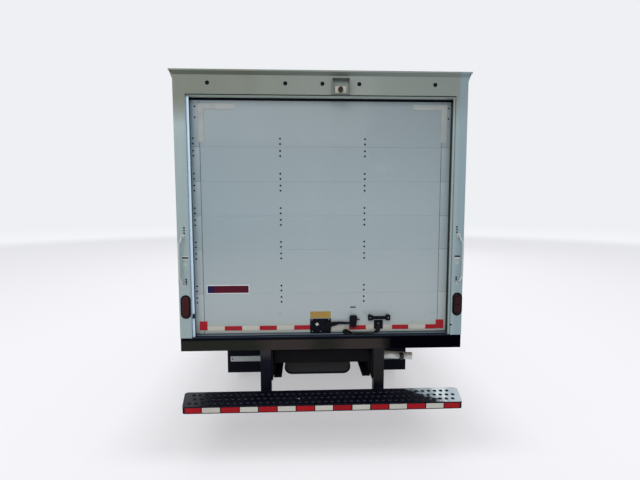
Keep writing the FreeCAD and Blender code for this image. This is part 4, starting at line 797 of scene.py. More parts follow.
def outline_of(node, flat, grow, keep=lambda point: True, pitch=0.025):
    """A node's outline along the two axes in flat, grown outwards, as points at an even pitch."""
    spots = [(vertex.co[flat[0]], vertex.co[flat[1]]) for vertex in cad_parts[node].data.vertices
             if keep(vertex.co)]
    ring = [Vector(spots[index]) for index in convex_hull_2d(spots)]
    middle = sum(ring, Vector((0, 0))) / len(ring)
    ring = [point + (point - middle).normalized() * grow for point in ring]
    points = []
    for start, end in zip(ring, ring[1:] + ring[:1]):
        steps = max(1, round((end - start).length / pitch))
        points += [start.lerp(end, step / steps) for step in range(steps)]
    return points


def on_rear(x, z, out=0.0):
    """A point on the rear frame's face: millimetres from the middle and above the load floor."""
    return Vector((x * MM, REAR - out * MM, FLOOR + z * MM))


def on_door(x, z, out=0.0):
    """A point on the roll-up door's face."""
    return Vector((x * MM, DOOR - out * MM, FLOOR + z * MM))


def on_step(x, z, out=0.0):
    """A point on the step's face, its height from the tread."""
    return Vector((x * MM, STEP_LOW.y - out * MM, TREAD + z * MM))


def patch(form, place, x_span, z_span, thick, sunk=0.2, round_off=0.0):
    """Adds a thin plate on a face that place gives."""
    block(form, place(x_span[0], z_span[0], thick), place(x_span[1], z_span[1], -sunk), round_off)


def plates(name, finish_name, *patches):
    """A piece of thin plates."""
    form = bmesh.new()
    for given in patches:
        patch(form, *given)
    piece(name, form, finish_name)


# Roll-up door

SEAMS = (365, 750, 1043, 1336, 1629)
HINGE_LINES = ((1699, 1654), (1596, 1553), (1404, 1360), (1303, 1260), (1111, 1066), (1010, 966),
               (818, 775), (718, 674), (434, 390), (332, 289))
TAPE_LOW, TAPE_HIGH = 30, 70
TAPE_BLOCK = 152.4

# Plates on the door's face: spans across and up in millimetres, thickness, depth below the face, rounding
DOOR_PLATES = (
    # The head seal is black and wide: the seal, and painted shadow in the gap under the header
    ("door_head_seal", "rubber", (-1122, 1122), (2012, 2032), 6, 1),
    # The side seals' finishes carry painted light, bluish at the left and grey at the right
    ("door_seal_left", "blue seal", (-1125, -1107), (2, 2012), 5, 1, 0.002),
    ("door_seal_right", "grey seal", (1107, 1125), (2, 2012), 5, 1, 0.002),
    ("door_foot_seal", "faded rubber", (-1122, 1122), (1, 14), 5, 1, 0.002),
    ("sticker_border", "blank plate", (-1005, -636), (365, 444), 0.5),
    ("sticker_red_field", "sticker red", (-940, -643), (373, 436), 0.9),
    ("sticker_blue_field", "sticker blue", (-998, -940), (373, 436), 0.9),
    ("lock_backing", "latch black", (-107, 78), (4, 135), 7, 0.5, 0.003),
    ("lock_label", "label yellow", (-105, 76), (139, 199), 0.8),
    ("small_label_border", "faded label", (252, 302), (204, 244), 0.4),
)

# Bars in the depth of the opening: spans across and up in metres, and along as shares of its depth
OPENING_BARS = (
    # The left strip carries painted light; the right one is plain frame paint
    ("left_jamb_trim", "jamb trim", (-1.119, -1.099), (0.25, 0.40), (0.002, 2.030)),
    ("right_jamb_trim", "frame paint", (1.102, 1.119), (0.10, 0.25), (0.002, 2.030)),
    ("door_threshold", "threshold", (-1.119, 1.119), (0.68, 0.95), (-0.0005, 0.003)),
)


def in_opening(form, x_span, shares, z_span, round_off=0.001):
    """Adds a bar inside the door's opening."""
    block(form, (x_span[0], REAR + shares[0] * DEEP, FLOOR + z_span[0]),
          (x_span[1], REAR + shares[1] * DEEP, FLOOR + z_span[1]), round_off)


def door_pieces():
    """Seals, edge channels and lines, hinge rivets, strips and threshold in the opening, lock plate, labels
    and blank sticker of the door.
    """
    for name, finish_name, *given in DOOR_PLATES:
        plates(name, finish_name, (on_door, *given))
    for name, finish_name, *given in OPENING_BARS:
        form = bmesh.new()
        in_opening(form, *given)
        piece(name, form, finish_name)
    plates("small_label", "latch black", (on_door, (256, 298), (229, 240), 0.8),
           (on_door, (246, 258), (231, 237), 0.8))
    levels = (16, *SEAMS, 2000)
    channels = [(on_door, span(side, 1034, 1121), (low + 1, high - 1), 1.4, 0.5, 0.0006)
                for low, high in zip(levels, levels[1:]) for side in (-1, 1)]
    plates("door_edge_channels", "edge paint", *channels)
    lines = [(on_door, span(side, 1030, 1034.5), (14, 2006), 0.5) for side in (-1, 1)]
    plates("door_edge_lines", "edge line", *lines)
    dots = [row(on_door(x, upper, 1.0), (0, 0, (lower - upper) * MM), 2, TO_REAR)
            for upper, lower in HINGE_LINES for x in (-1088, -357, 369)]
    dots += [row(on_door(x, 1960, 1.0), (0, 0, -0.088), 2, TO_REAR) for x in (-1068, 1089)]
    grown("door_hinge_rivets", "latch black", dots, rivet(0.0086, 0.0030))


def tape_run(reds, whites, place, blocks, z_span):
    """Adds tape blocks (left end, right end, whether red) with a thin gap between them."""
    for left, right, red in blocks:
        patch(reds if red else whites, place, (left + 0.6, right - 0.6), z_span, 0.8)


def door_tapes():
    """Reflective tape along the door's foot and at its corners."""
    reds, whites, pales = forms(3)
    left = [(-1010 + TAPE_BLOCK * index, -1010 + TAPE_BLOCK * (index + 1), index % 2) for index in range(6)]
    right = [(238, 390, True), (390, 625, False), (625, 772, True), (772, 926, False), (926, 1022, True),
             (88, 200, False)]
    tape_run(reds, whites, on_door, left, (TAPE_LOW + 6, TAPE_HIGH + 6))
    tape_run(reds, whites, on_door, right, (TAPE_LOW, TAPE_HIGH))
    for x_span, z_span in (((-1075, -1007), (42, 122)), ((1019, 1089), (34, 114))):
        patch(reds, on_door, x_span, z_span, 2.4)
    for x_span, z_span in (((-1042, -733), (1940, 1988)), ((-1042, -994), (1668, 1940)),
                           ((781, 1075), (1942, 1990)), ((1026, 1075), (1669, 1942))):
        patch(pales, on_door, x_span, z_span, 2.4)
    piece("door_red_tape", reds, "tape pale red")
    piece("door_white_tape", whites, "tape white")
    piece("door_corner_tape", pales, "edge tape")


def latch_pieces():
    """Bolts of the lock and the pull handle, and the lock's nut."""
    bolts = [row(on_door(*place), turn=TO_REAR) for place in ((-86, 22, 10), (-14, 21, 10), (-90, 128, 10),
                                                              (60, 128, 10), (501, 58, 8), (501, 87, 8))]
    grown("lock_bolts", "dull bolt", bolts, bolt(0.0095, 0.005, 0.0065))
    bolts = [row(on_door(x, 148, 46), turn=TO_REAR) for x in (421, 581)]
    grown("handle_bolts", "dull bolt", bolts, rivet(0.0072, 0.004))
    nut, washer = forms(2)
    middle = Matrix.Translation(on_door(-46, 92, 22)) @ BACKWARD @ Matrix.Rotation(math.radians(38), 4, "Z")
    half, tall = 0.0125, 0.0105
    outline = [(-half, -tall), (half, -tall), (half, tall), (-half, tall)]
    domed(nut, [(outline, 0), (outline, 0.009)], middle)
    piece("lock_nut", nut, "bright steel")
    fitted(washer, middle, (-0.021, -0.019, -0.001), (0.021, 0.019, 0.004), 0.003)
    slot = middle @ Matrix.Translation((0.001, 0.002, 0.0088))
    fitted(washer, slot, (-0.0135, -0.0022, 0), (0.0135, 0.0022, 0.0010), 0.0004)
    piece("lock_nut_plate", washer, "latch black")


def pull_strap():
    """A flat strap from the handle's plate down onto the sill and along it, ending in a loop."""
    route = [(500, 62, 12, 0), (499, 44, 13, 0), (492, 26, 16, 0), (476, 12, 22, 0.3), (446, 6, 30, 0.8),
             (400, 5, 34, 1), (340, 5, 33, 1), (292, 7, 31, 0.9), (258, 12, 29, 0.7), (228, 24, 28, 0.5),
             (204, 33, 27, 0.4), (190, 26, 27, 0.5), (198, 14, 28, 0.7), (226, 9, 29, 0.9), (262, 9, 30, 1)]
    path = smoothed([Vector((*on_door(x, z, out), lie)) for x, z, out, lie in route], 2)
    wide, thick = 0.019, 0.0016
    out = Vector(BACKWARDS)
    rings = []
    for index, spot in enumerate(path):
        lie = spot[3]
        ahead = (path[min(index + 1, len(path) - 1)] - path[max(index - 1, 0)]).to_3d().normalized()
        across = (ahead.cross(out).normalized() * (1 - lie) + out * lie * 0.8).normalized()
        across = (across - ahead * across.dot(ahead)).normalized()
        up = ahead.cross(across).normalized()
        rings.append([spot.to_3d() + across * wide * a + up * thick * b
                      for a, b in ((-1, -1), (1, -1), (1, 1), (-1, 1))])
    form = bmesh.new()
    skinned(form, rings)
    piece("pull_strap", form, "webbing")


# Rear frame

def tail_lamps():
    """Oval lamps in rubber rings, with their rows of diodes, and the round markers."""
    lens, rubber, rim = forms(3)

    def oval(grow):
        return capsule(0.062 + grow, 0.180 + grow)
    diodes = []
    for side in (-1, 1):
        turn = Matrix.Translation(on_rear(side * 1170 + 6, 274)) @ BACKWARD
        domed(lens, [(oval(0), 0.0), (oval(0), 0.009), (oval(-0.006), 0.012), (oval(-0.024), 0.0138)], turn)
        domed(rubber, [(oval(0.024), -0.001), (oval(0.024), 0.004), (oval(0.016), 0.008),
                       (oval(0.006), 0.009), (oval(0.001), 0.007), (oval(0.001), 0.002)], turn)
        for middle in (238, 310):
            diodes.append(row(on_rear(side * 1170 - 8, middle - 21, 13.4), (0.014, 0, 0), 3, TO_REAR, rows=4,
                              row_step=(0, 0, 0.014)))
    grown("tail_lamp_diodes", "led red", diodes, rivet(0.0052, 0.0025))
    for x in (-939, -305, 0, 305, 939):
        for form, profile in ((rubber, [(0, 0), (0, 0.0155), (0.004, 0.0150), (0.006, 0.013), (0.006, 0)]),
                              (rim, [(0, 0.0155), (0.0022, 0.0155), (0.0022, 0.0165), (0, 0.0170)]),
                              (rubber, [(0.006, 0.0), (0.006, 0.013), (0.009, 0.010), (0.0105, 0.0)])):
            turned(form, profile, on_rear(x, 2130), BACKWARDS, 24)
    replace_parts(piece("tail_lamp_lenses", lens, "lens red"), "rear_lamps")
    piece("lamp_rings", rubber, "rubber")
    piece("marker_rims", rim, "rubber")


def camera_pieces():
    """The rear camera's eye and lamp plate inside its hood."""
    plate, eye = forms(2)
    low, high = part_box("rear_camera")
    middle = (low[0] + high[0]) / 2
    block(plate, (middle - 0.048, REAR - 0.024, FLOOR + 2.050),
          (middle + 0.046, REAR - 0.006, FLOOR + 2.104), 0.003)
    piece("camera_lamp_plate", plate, "beige plastic")
    turned(eye, [(-0.002, 0), (-0.002, 0.021), (0.008, 0.021), (0.011, 0.018), (0.011, 0.012), (0.006, 0.010),
                 (0.010, 0.006), (0.012, 0.0)], (middle - 0.002, REAR - 0.038, FLOOR + 2.077), BACKWARDS, 28)
    piece("camera_eye", eye, "black plastic")


def frame_details():
    """Corner lip, blank labels, plugs, header lip and rivets of the rear frame."""
    lip, white, dark, faded = forms(4)
    patch(lip, on_rear, (-1122, 1122), (2034, 2040), 2, -2, 0.0008)
    for side, drop in ((-1, 0), (1, 12)):
        middle = side * 1162
        patch(lip, on_rear, span(side, 1124, 1119.5), (0, 2036), 1.5, 5, 0.0006)
        patch(white, on_rear, (middle - 20, middle + 28), (678 - drop, 712 - drop), 0.8)
        patch(dark, on_rear, (middle - 20, middle + 28), (688, 701), 1.2)
        patch(faded, on_rear, (middle - 14, middle + 22), (622, 656), 0.6)
        for level, aside in ((474, 4), (492, 4), (510, 4), (903, -2), (926, -2), (948, -2)):
            turned(dark, [(-0.0005, 0), (-0.0005, 0.0075), (0.0025, 0.0070), (0.0035, 0.0050), (0.0035, 0)],
                   on_rear(side * 1158 + aside, level), BACKWARDS, 12)
        turned(dark, [(0, 0), (0, 0.010), (0.004, 0.008), (0.004, 0)], on_rear(side * 1108, 312, -40),
               (-side, 0, 0), 16)
    in_opening(dark, (-1.114, -1.099), (0.18, 0.38), (0.166, 0.208), 0.002)
    patch(dark, on_rear, (1118, 1131), (84, 98), 3)
    piece("frame_lips", lip, "frame paint")
    piece("post_labels", white, "label white")
    piece("post_faded_labels", faded, "faded label")
    piece("post_label_bars", dark, "latch black")
    heads = [row(on_rear(-1180, 2204, 0.2), (0.118, 0, 0), 21, TO_REAR)]
    grown("header_rivets", "frame paint", heads, rivet(0.005, 0.0022))


# Rear step and what hangs below

def step_pieces():
    """Grip cups and holes in three staggered rows, the tape on the step's face, and its bracket plates."""
    columns = 42
    pitch = (STEP_HIGH.x - STEP_LOW.x - 0.19) / (columns - 1)
    grip = [row((STEP_LOW.x + 0.085, STEP_LOW.y + 0.050, TREAD), (pitch, 0, 0), columns, rows=3,
                row_step=(0, 0.072, 0), stagger=(pitch / 2, 0, 0))]
    cup = [(-0.001, 0.0165), (0.0035, 0.0142), (0.0042, 0.0122), (0.0030, 0.0110), (-0.0005, 0.0105),
           (-0.0005, 0.0)]
    hole = [(0.0002, 0.0), (0.0044, 0.0126), (0.0050, 0.0122), (0.0008, 0.0)]
    grown("step_grip_cups", "grip steel", grip, shape_of((cup, 14)))
    # The holes are dark discs: painted shade inside the openings
    grown("step_grip_holes", "rubber", grip, shape_of((hole, 14)))
    reds, whites, brackets = forms(3)
    blocks = [(-1139 + TAPE_BLOCK * index, -1146 + TAPE_BLOCK * (index + 1), index % 2 == 0)
              for index in range(15)]
    blocks[0] = (-1115, blocks[0][1], True)
    blocks[-1] = (blocks[-1][0], 1115, True)
    tape_run(reds, whites, on_step, blocks, (-53, -11))
    for side in (-1, 1):
        centre = Vector((side * 1.1135, STEP_LOW.y + 0.0285, TREAD))
        rings = []
        for step in range(9):
            angle = math.radians(80) * step / 8
            away = Vector((side * math.sin(angle), -math.cos(angle), 0))
            rings.append([centre + away * reach + Vector((0, 0, level))
                          for reach, level in ((0.0275, -0.053), (0.0297, -0.053), (0.0297, -0.011),
                                               (0.0275, -0.011))])
        skinned(reds, rings)
    piece("step_red_tape", reds, "tape red")
    piece("step_white_tape", whites, "tape white")
    grown("step_bolt", "plated steel", [row((-0.205, STEP_LOW.y + 0.10, TREAD + 0.001))],
          bolt(0.011, 0.005, 0.008))
    outline = [(REAR + 0.012, 0.660), (REAR + 0.330, 0.690), (REAR + 0.330, 0.830), (REAR + 0.012, 0.930)]
    sideways = Matrix(((0, 0, 1, 0), (1, 0, 0, 0), (0, 1, 0, 0), (0, 0, 0, 1)))
    bolts = []
    for side in (-1, 1):
        domed(brackets, [(outline, x) for x in span(side, 0.4335, 0.4470)], sideways)
        bolts.append(row((side * 0.447, REAR + 0.15, 0.72), (0, 0.12, 0), 2, TO_SIDE[side], rows=2,
                         row_step=(0, 0, 0.08)))
    piece("step_brackets", brackets, "chassis black")
    grown("step_bracket_bolts", "dark steel", bolts, bolt(0.022, 0.010, 0.015))


def flap_pieces():
    """A plain pale band and its rivets across each mudflap."""
    band = bmesh.new()
    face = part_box("mudflaps")[0][1]
    heads = []
    for side in (-1, 1):
        left, right = span(side, 0.592, 1.062)
        block(band, (left, face - 0.003, 0.280), (right, face + 0.001, 0.345), 0.0008)
        heads.append(row((side * 1.040, face - 0.003, 0.311), (-side * 0.42, 0, 0), 2, TO_REAR))
    piece("flap_bands", band, "label white")
    grown("flap_rivets", "rubber", heads, rivet(0.010, 0.003))


def clamps_and_flanges():
    """A clamp round the tail pipe, and the pressed flanges of the fuel tank's ends."""
    collar, flange = forms(2)
    low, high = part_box("exhaust")
    x, y = high[0] - 0.115, low[1] + 0.034
    top, _ = met("exhaust", (x, y, high[2] + 0.3), (0, 0, -1))
    foot, _ = met("exhaust", (x, y, low[2] - 0.3), (0, 0, 1))
    inner = (top - foot).length / 2 - 0.004
    outer, ridge = inner + 0.008, inner + 0.013
    turned(collar, [(-0.020, inner), (-0.020, outer), (-0.006, outer), (-0.005, ridge), (0.005, ridge),
                    (0.006, outer), (0.020, outer), (0.020, inner)], (top + foot) / 2, (1, 0, 0),
                    32, closed=True)
    piece("pipe_clamps", collar, "dark steel")
    left, right, foot, top, corner = -0.345, 0.285, 0.545, 0.665, 0.060
    outline = [(right, top)]
    for x, first in ((right - corner, 0.0), (left + corner, -math.pi / 2)):
        angles = [first - math.pi / 2 * step / 5 for step in range(6)]
        outline += [(x + corner * math.cos(angle), foot + corner + corner * math.sin(angle))
                    for angle in angles]
    outline.append((left, top))
    for y in (REAR + 0.421, REAR + 1.079):
        loop(flange, [Vector((x, y, z)) for x, z in outline], 0.010, 6)
    piece("tank_flanges", flange, "latch black")


# Wheels

def axle_of(end):
    """Where an axle lies along the truck."""
    low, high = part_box("tyre_" + end + "_left")
    return (low[1] + high[1]) / 2


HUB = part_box("tyre_front_left")[1][2] / 2
AXLES = {end: axle_of(end) for end in ("front", "rear")}
FRONT_PLANE, INNER_PLANE, OUTER_PLANE = 0.830, 0.7005, 0.9495
TWIN_PLANE = (INNER_PLANE + OUTER_PLANE) / 2
TYRE, BEAD = 0.3850, 0.2035
NUT_RING, HAND_HOLE_RING = 0.0880, 0.147


def tyre_section():
    """Section of a tyre with four grooves round its tread: (along the axle, radius)."""
    half = [(0.078, BEAD), (0.0930, BEAD + 0.001), (0.0965, BEAD + 0.010), (0.0975, BEAD + 0.020),
            (0.1000, BEAD + 0.028), (0.1000, BEAD + 0.033), (0.1020, BEAD + 0.040), (0.1060, BEAD + 0.065),
            (0.1074, BEAD + 0.088), (0.1066, BEAD + 0.110), (0.1055, BEAD + 0.112), (0.1055, BEAD + 0.116),
            (0.1045, BEAD + 0.118), (0.1000, TYRE - 0.036), (0.0945, TYRE - 0.020), (0.0880, TYRE - 0.010),
            (0.0800, TYRE - 0.004), (0.0700, TYRE - 0.0015)]
    for groove in (0.0525, 0.0180):
        half += [(groove + 0.0050, TYRE), (groove + 0.0038, TYRE - 0.010), (groove - 0.0038, TYRE - 0.010),
                 (groove - 0.0050, TYRE)]
    return half + [(-along, radius) for along, radius in reversed(half)]


def tyre(end, side_name, planes):
    """One tyre or a pair, with lugs on the shoulders."""
    name = end + "_" + side_name
    shells, lugs = forms(2)
    centres = [(plane, AXLES[end], HUB) for plane in planes]
    for centre in centres:
        turned(shells, tyre_section(), centre, (1, 0, 0), 72, closed=True)
    made = piece("tyre_shell_" + name, shells, "tyre rubber", "wheel_" + name, crease=28)
    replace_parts(made, "tyre_" + name)
    for side in (-1, 1):
        left, right = span(side, 0.0780, 0.0955)
        block(lugs, (left, -0.014, -0.0062), (right, -0.0012, 0.0062), 0.0012)
        left, right = span(side, 0.0580, 0.0690)
        block(lugs, (left, -0.003, -0.0040), (right, 0.0048, 0.0040))
    rings = [{"Count": 76, "Radius": TYRE - 0.0052, "First": 0.02 * index, "Centre": centre}
             for index, centre in enumerate(centres)]
    grown("tyre_lugs_" + name, "tyre rubber", rings, linked("Shape", mesh_of("Shape", lugs)),
          "wheel_" + name, RING)


def rim_section(mount):
    """Section of a wheel with rolled lips and a disc seated at mount from its middle."""
    seat = BEAD - 0.0005
    return [(-0.084, seat + 0.010), (-0.082, seat + 0.0125), (-0.079, seat + 0.011), (-0.077, seat),
            (-0.045, seat), (-0.035, seat - 0.021), (0.035, seat - 0.021), (0.045, seat), (0.077, seat),
            (0.079, seat + 0.011), (0.082, seat + 0.0125), (0.084, seat + 0.010), (0.083, seat + 0.002),
            (0.052, seat - 0.007), (0.042, seat - 0.026), (0.030, seat - 0.029),
            (mount - 0.012, seat - 0.074), (mount - 0.003, seat - 0.083), (mount, seat - 0.092),
            (mount, 0.062), (mount - 0.008, 0.062), (mount - 0.008, seat - 0.090),
            (mount - 0.018, seat - 0.082), (0.016, seat - 0.029), (-0.040, seat - 0.027),
            (-0.052, seat - 0.007), (-0.083, seat + 0.002)]


def rim(end, side_name, hand, discs, studs, cap):
    """Painted wheels with hand holes, then the hub, its cap and the nuts."""
    name = end + "_" + side_name
    body = "wheel_" + name
    form, cutter, hub, nuts = forms(4)

    def at(out, radius=0.0, share=0.0):
        angle = math.tau * share
        return Vector((hand * out, AXLES[end], HUB)) + radius * Vector((0, math.cos(angle), math.sin(angle)))
    for plane, way, mount in discs:
        turned(form, rim_section(mount), at(plane), (way, 0, 0), 64, closed=True)
        for index in range(8):
            turned(cutter, [(0.005, 0), (0.005, 0.0185), (mount + 0.02, 0.0185), (mount + 0.02, 0)],
                   at(plane, HAND_HOLE_RING, (index + 0.5) / 8), (way, 0, 0), 18)
    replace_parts(piece("wheel_disc_" + name, bored(form, cutter), "wheel paint", body), "rim_" + name)
    turned(hub, cap[1], at(cap[0]), (hand, 0, 0), 40)
    piece("hub_" + name, hub, "wheel paint", body)
    for index in range(6):
        start = at(studs, NUT_RING, index / 6)
        turned(nuts, [(0.0, 0), (0.0, 0.0190), (0.004, 0.0190), (0.004, 0.0160), (0.020, 0.0160),
                      (0.023, 0.0130), (0.023, 0)], start, (hand, 0, 0), 6)
        turned(nuts, [(0.020, 0), (0.020, 0.0090), (0.028, 0.0090), (0.030, 0.0070), (0.030, 0)], start,
               (hand, 0, 0), 10)
    piece("wheel_nuts_" + name, nuts, "plated steel", body)
    bolts = bmesh.new()
    plane, radius = (FRONT_PLANE + 0.121, 0.030) if end == "front" else (TWIN_PLANE + 0.117, 0.059)
    for index in range(8):
        turned(bolts, [(0.0, 0), (0.0, 0.0055), (0.005, 0.0055), (0.005, 0)], at(plane, radius, index / 8),
               (hand, 0, 0), 6)
    piece("hub_bolts_" + name, bolts, "dark steel", body)


def wheels():
    """All tyres and wheels."""
    front_cap = [(-0.045, 0.0), (-0.045, 0.150), (0.010, 0.150), (0.010, 0.0740), (0.072, 0.0740),
                 (0.078, 0.060), (0.080, 0.052), (0.108, 0.050), (0.116, 0.047), (0.122, 0.038),
                 (0.125, 0.020), (0.126, 0.0)]
    rear_cap = [(-0.250, 0.0), (-0.250, 0.090), (-0.190, 0.090), (-0.190, 0.160), (-0.008, 0.160),
                (-0.008, 0.100), (0.008, 0.100), (0.010, 0.078), (0.060, 0.074), (0.108, 0.071),
                (0.116, 0.068), (0.118, 0.050), (0.126, 0.047), (0.130, 0.036), (0.130, 0.0)]
    for hand, side in SIDES:
        tyre("front", side, (hand * FRONT_PLANE,))
        tyre("rear", side, (hand * INNER_PLANE, hand * OUTER_PLANE))
        rim("front", side, hand, [(FRONT_PLANE, hand, 0.066)], FRONT_PLANE + 0.066, (FRONT_PLANE, front_cap))
        rim("rear", side, hand, [(INNER_PLANE, hand, 0.1245), (OUTER_PLANE, -hand, 0.1245)],
            TWIN_PLANE + 0.008, (TWIN_PLANE, rear_cap))


# Load body's sides, front and roof

WALL_LOW, WALL_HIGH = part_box("right_wall")[0][2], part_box("right_wall")[1][2]
BODY_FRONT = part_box("front_wall")[1][1]
SKIN = HALF - 0.006
BAND = 0.140
RIVET_PITCH = 0.1016
COLUMN_PITCH, COLUMN_COUNT = 0.0985, 20


def lamp_block(bases, lenses, turn, wide=0.086, tall=0.040, proud=0.018):
    """Adds a rounded marker lamp: rubber base and lens."""
    x, y, rim_width = wide / 2, tall / 2, 0.006
    fitted(bases, turn, (-x - rim_width, -y - rim_width, -0.001),
           (x + rim_width, y + rim_width, 0.007), 0.003)
    fitted(lenses, turn, (-x, -y, 0.004), (x, y, proud), 0.007)


def wall_details():
    """Lap strips, rivets along the posts and rails, and marker lamps on all sides."""
    strips, bases, ambers, reds, seams = forms(5)
    rivets = []
    first, last, posts = REAR + 0.135, BODY_FRONT - 0.165, 12
    pitch = (last - first) / (posts - 1)
    back, middle, front = REAR + 0.19, (REAR + BODY_FRONT) / 2, BODY_FRONT - 0.22
    foot, head = WALL_LOW + BAND, WALL_HIGH - BAND
    for side in (-1, 1):
        skin, band = side * SKIN, side * HALF
        rivets.append(row((skin, first, foot + 0.035), (0, 0, COLUMN_PITCH), COLUMN_COUNT, TO_SIDE[side],
                          rows=posts, row_step=(0, pitch, 0)))
        for level in (WALL_LOW + 0.022, foot - 0.022, WALL_HIGH - 0.022, head + 0.022):
            rivets.append(row((band, first - 0.05, level), (0, RIVET_PITCH, 0), 46, TO_SIDE[side]))
        for index in range(0, posts, 3):
            y = first + pitch * index + (0.020 if index else -0.020)
            inner, outer = sorted((skin - side * 0.002, skin + side * 0.0016))
            block(strips, (inner, y - 0.020, foot + 0.001), (outer, y + 0.020, head - 0.001), 0.0006)
        for level in (foot, head):
            inner, outer = sorted((skin - side * 0.001, band + side * 0.0015))
            block(strips, (inner, REAR + 0.09, level - 0.004), (outer, BODY_FRONT - 0.12, level + 0.004),
                  0.0015)
        turn = Euler((math.pi / 2, 0, side * math.pi / 2)).to_matrix().to_4x4()
        for y, z, lenses in ((back, WALL_LOW + 0.07, reds), (front, WALL_LOW + 0.07, ambers),
                             (middle, WALL_LOW + 0.07, ambers), (back, WALL_HIGH - 0.07, reds),
                             (front, WALL_HIGH - 0.07, ambers)):
            lamp_block(bases, lenses, Matrix.Translation((band, y, z)) @ turn)
    piece("wall_strips", strips, "body paint")
    grown("wall_rivets", "rail metal", rivets, rivet(0.0062, 0.0022))
    rivets = [row((x, BODY_FRONT, WALL_LOW + 0.17), (0, 0, COLUMN_PITCH), COLUMN_COUNT, TO_FRONT)
              for x in (-0.813, -0.406, 0.0, 0.406, 0.813)]
    rivets += [row((-1.05, BODY_FRONT, level), (0.105, 0, 0), 21, TO_FRONT)
               for level in (WALL_LOW + 0.05, WALL_HIGH - 0.05, WALL_HIGH - 0.12)]
    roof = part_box("roof")[1][2]
    rivets += [row((side * (HALF - 0.035), REAR + 0.14, roof), (0, RIVET_PITCH, 0), 45) for side in (-1, 1)]
    for x in (-1.0, -0.20, 0.0, 0.20, 1.0):
        lamp_block(bases, ambers, Matrix.Translation((x, BODY_FRONT, WALL_HIGH - 0.085)) @ FORWARD)
    grown("front_and_roof_rivets", "rail metal", rivets, rivet(0.0062, 0.0022))
    for index in (1, 2, 3):
        y = REAR + 0.1 + (BODY_FRONT - REAR - 0.2) * index / 4
        block(seams, (-HALF + 0.05, y - 0.020, roof - 0.001), (HALF - 0.05, y + 0.020, roof + 0.0018), 0.0008)
    piece("roof_seams", seams, "body paint")
    piece("side_lamp_bases", bases, "rubber")
    piece("side_lamp_ambers", ambers, "lens amber")
    piece("side_lamp_reds", reds, "side red")


# Cab

CAB_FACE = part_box("cab_front")[1][1]
CAB_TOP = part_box("cab_roof")[1][2]


def window_seals():
    """Rubber round each pane, laid on the panels."""
    for side, name in SIDES:
        form = bmesh.new()
        starts = [(side * 1.3, y, z) for y, z in outline_of("door_glass_" + name, (1, 2), 0.005)]
        loop(form, traced("door_" + name, starts, (-side, 0, 0)), 0.010)
        piece("window_seal_" + name, form, "rubber", name + "_door")
    form = bmesh.new()
    for keep, start, way, node in ((lambda point: point.y > 2.8, AHEAD, -1, "cab_front"),
                                   (lambda point: point.y < 2.2, 1.0, 1, "cab_back")):
        starts = [(x, start, z) for x, z in outline_of("cab_glass", (0, 2), 0.006, keep)]
        loop(form, traced(node, starts, (0, way, 0)), 0.012)
    piece("screen_seals", form, "rubber", "cab")


def wipers():
    """Two parked wipers with their arms and pivots."""
    blades, arms = forms(2)
    for outer, inner in ((-0.86, -0.30), (-0.16, 0.40)):
        edge, spine = [], []
        for step in range(9):
            share = step / 8
            start = (outer + (inner - outer) * share, AHEAD, 1.452 + 0.020 * share)
            point, normal = met("cab_glass", start, BACKWARDS)
            edge.append(point + normal * 0.006)
            spine.append(point + normal * (0.016 + 0.008 * math.sin(math.pi * share)))
        tube(blades, edge, 0.0045, 6)
        tube(blades, spine, 0.0040, 6)
        for step in (1, 4, 7):
            tube(blades, [edge[step], spine[step]], 0.004, 6)
        pivot, normal = met("cab_front", (inner + 0.10, AHEAD, 1.345), BACKWARDS)
        middle = spine[4]
        tube(arms, [pivot + normal * 0.020, pivot + normal * 0.026 + (middle - pivot) * 0.25,
                    middle + normal * 0.006, middle], 0.0065, 8, 1)
        turned(arms, [(-0.004, 0), (-0.004, 0.022), (0.010, 0.019), (0.026, 0.014), (0.030, 0.010),
                      (0.030, 0)], pivot,
               normal, 18)
    piece("wiper_blades", blades, "rubber", "cab")
    piece("wiper_arms", arms, "black plastic", "cab")


def door_fittings():
    """Handle, its recess and the lock on each door."""
    for side, name in SIDES:
        recess, bar, lock = forms(3)
        turn = seated("door_" + name, (side * 1.4, 2.505, 1.235), (-side, 0, 0), (0, 1, 0))
        fitted(recess, turn, (-0.078, -0.034, -0.002), (0.078, 0.034, 0.0035), 0.0015)
        fitted(bar, turn, (-0.066, -0.004, 0.014), (0.066, 0.020, 0.027), 0.006)
        for end in (-0.058, 0.058):
            fitted(bar, turn, (end - 0.008, -0.002, 0.001), (end + 0.008, 0.018, 0.022), 0.003)
        turned(lock, [(0, 0), (0, 0.011), (0.004, 0.010), (0.004, 0.004), (0.003, 0)],
               turn @ Vector((0.048, -0.020, 0.002)), (side, 0, 0), 20)
        for label, form, finish_name in (("handle_recess_", recess, "black plastic"),
                                         ("door_handle_", bar, "black plastic"),
                                         ("door_lock_", lock, "plated steel")):
            piece(label + name, form, finish_name, name + "_door")


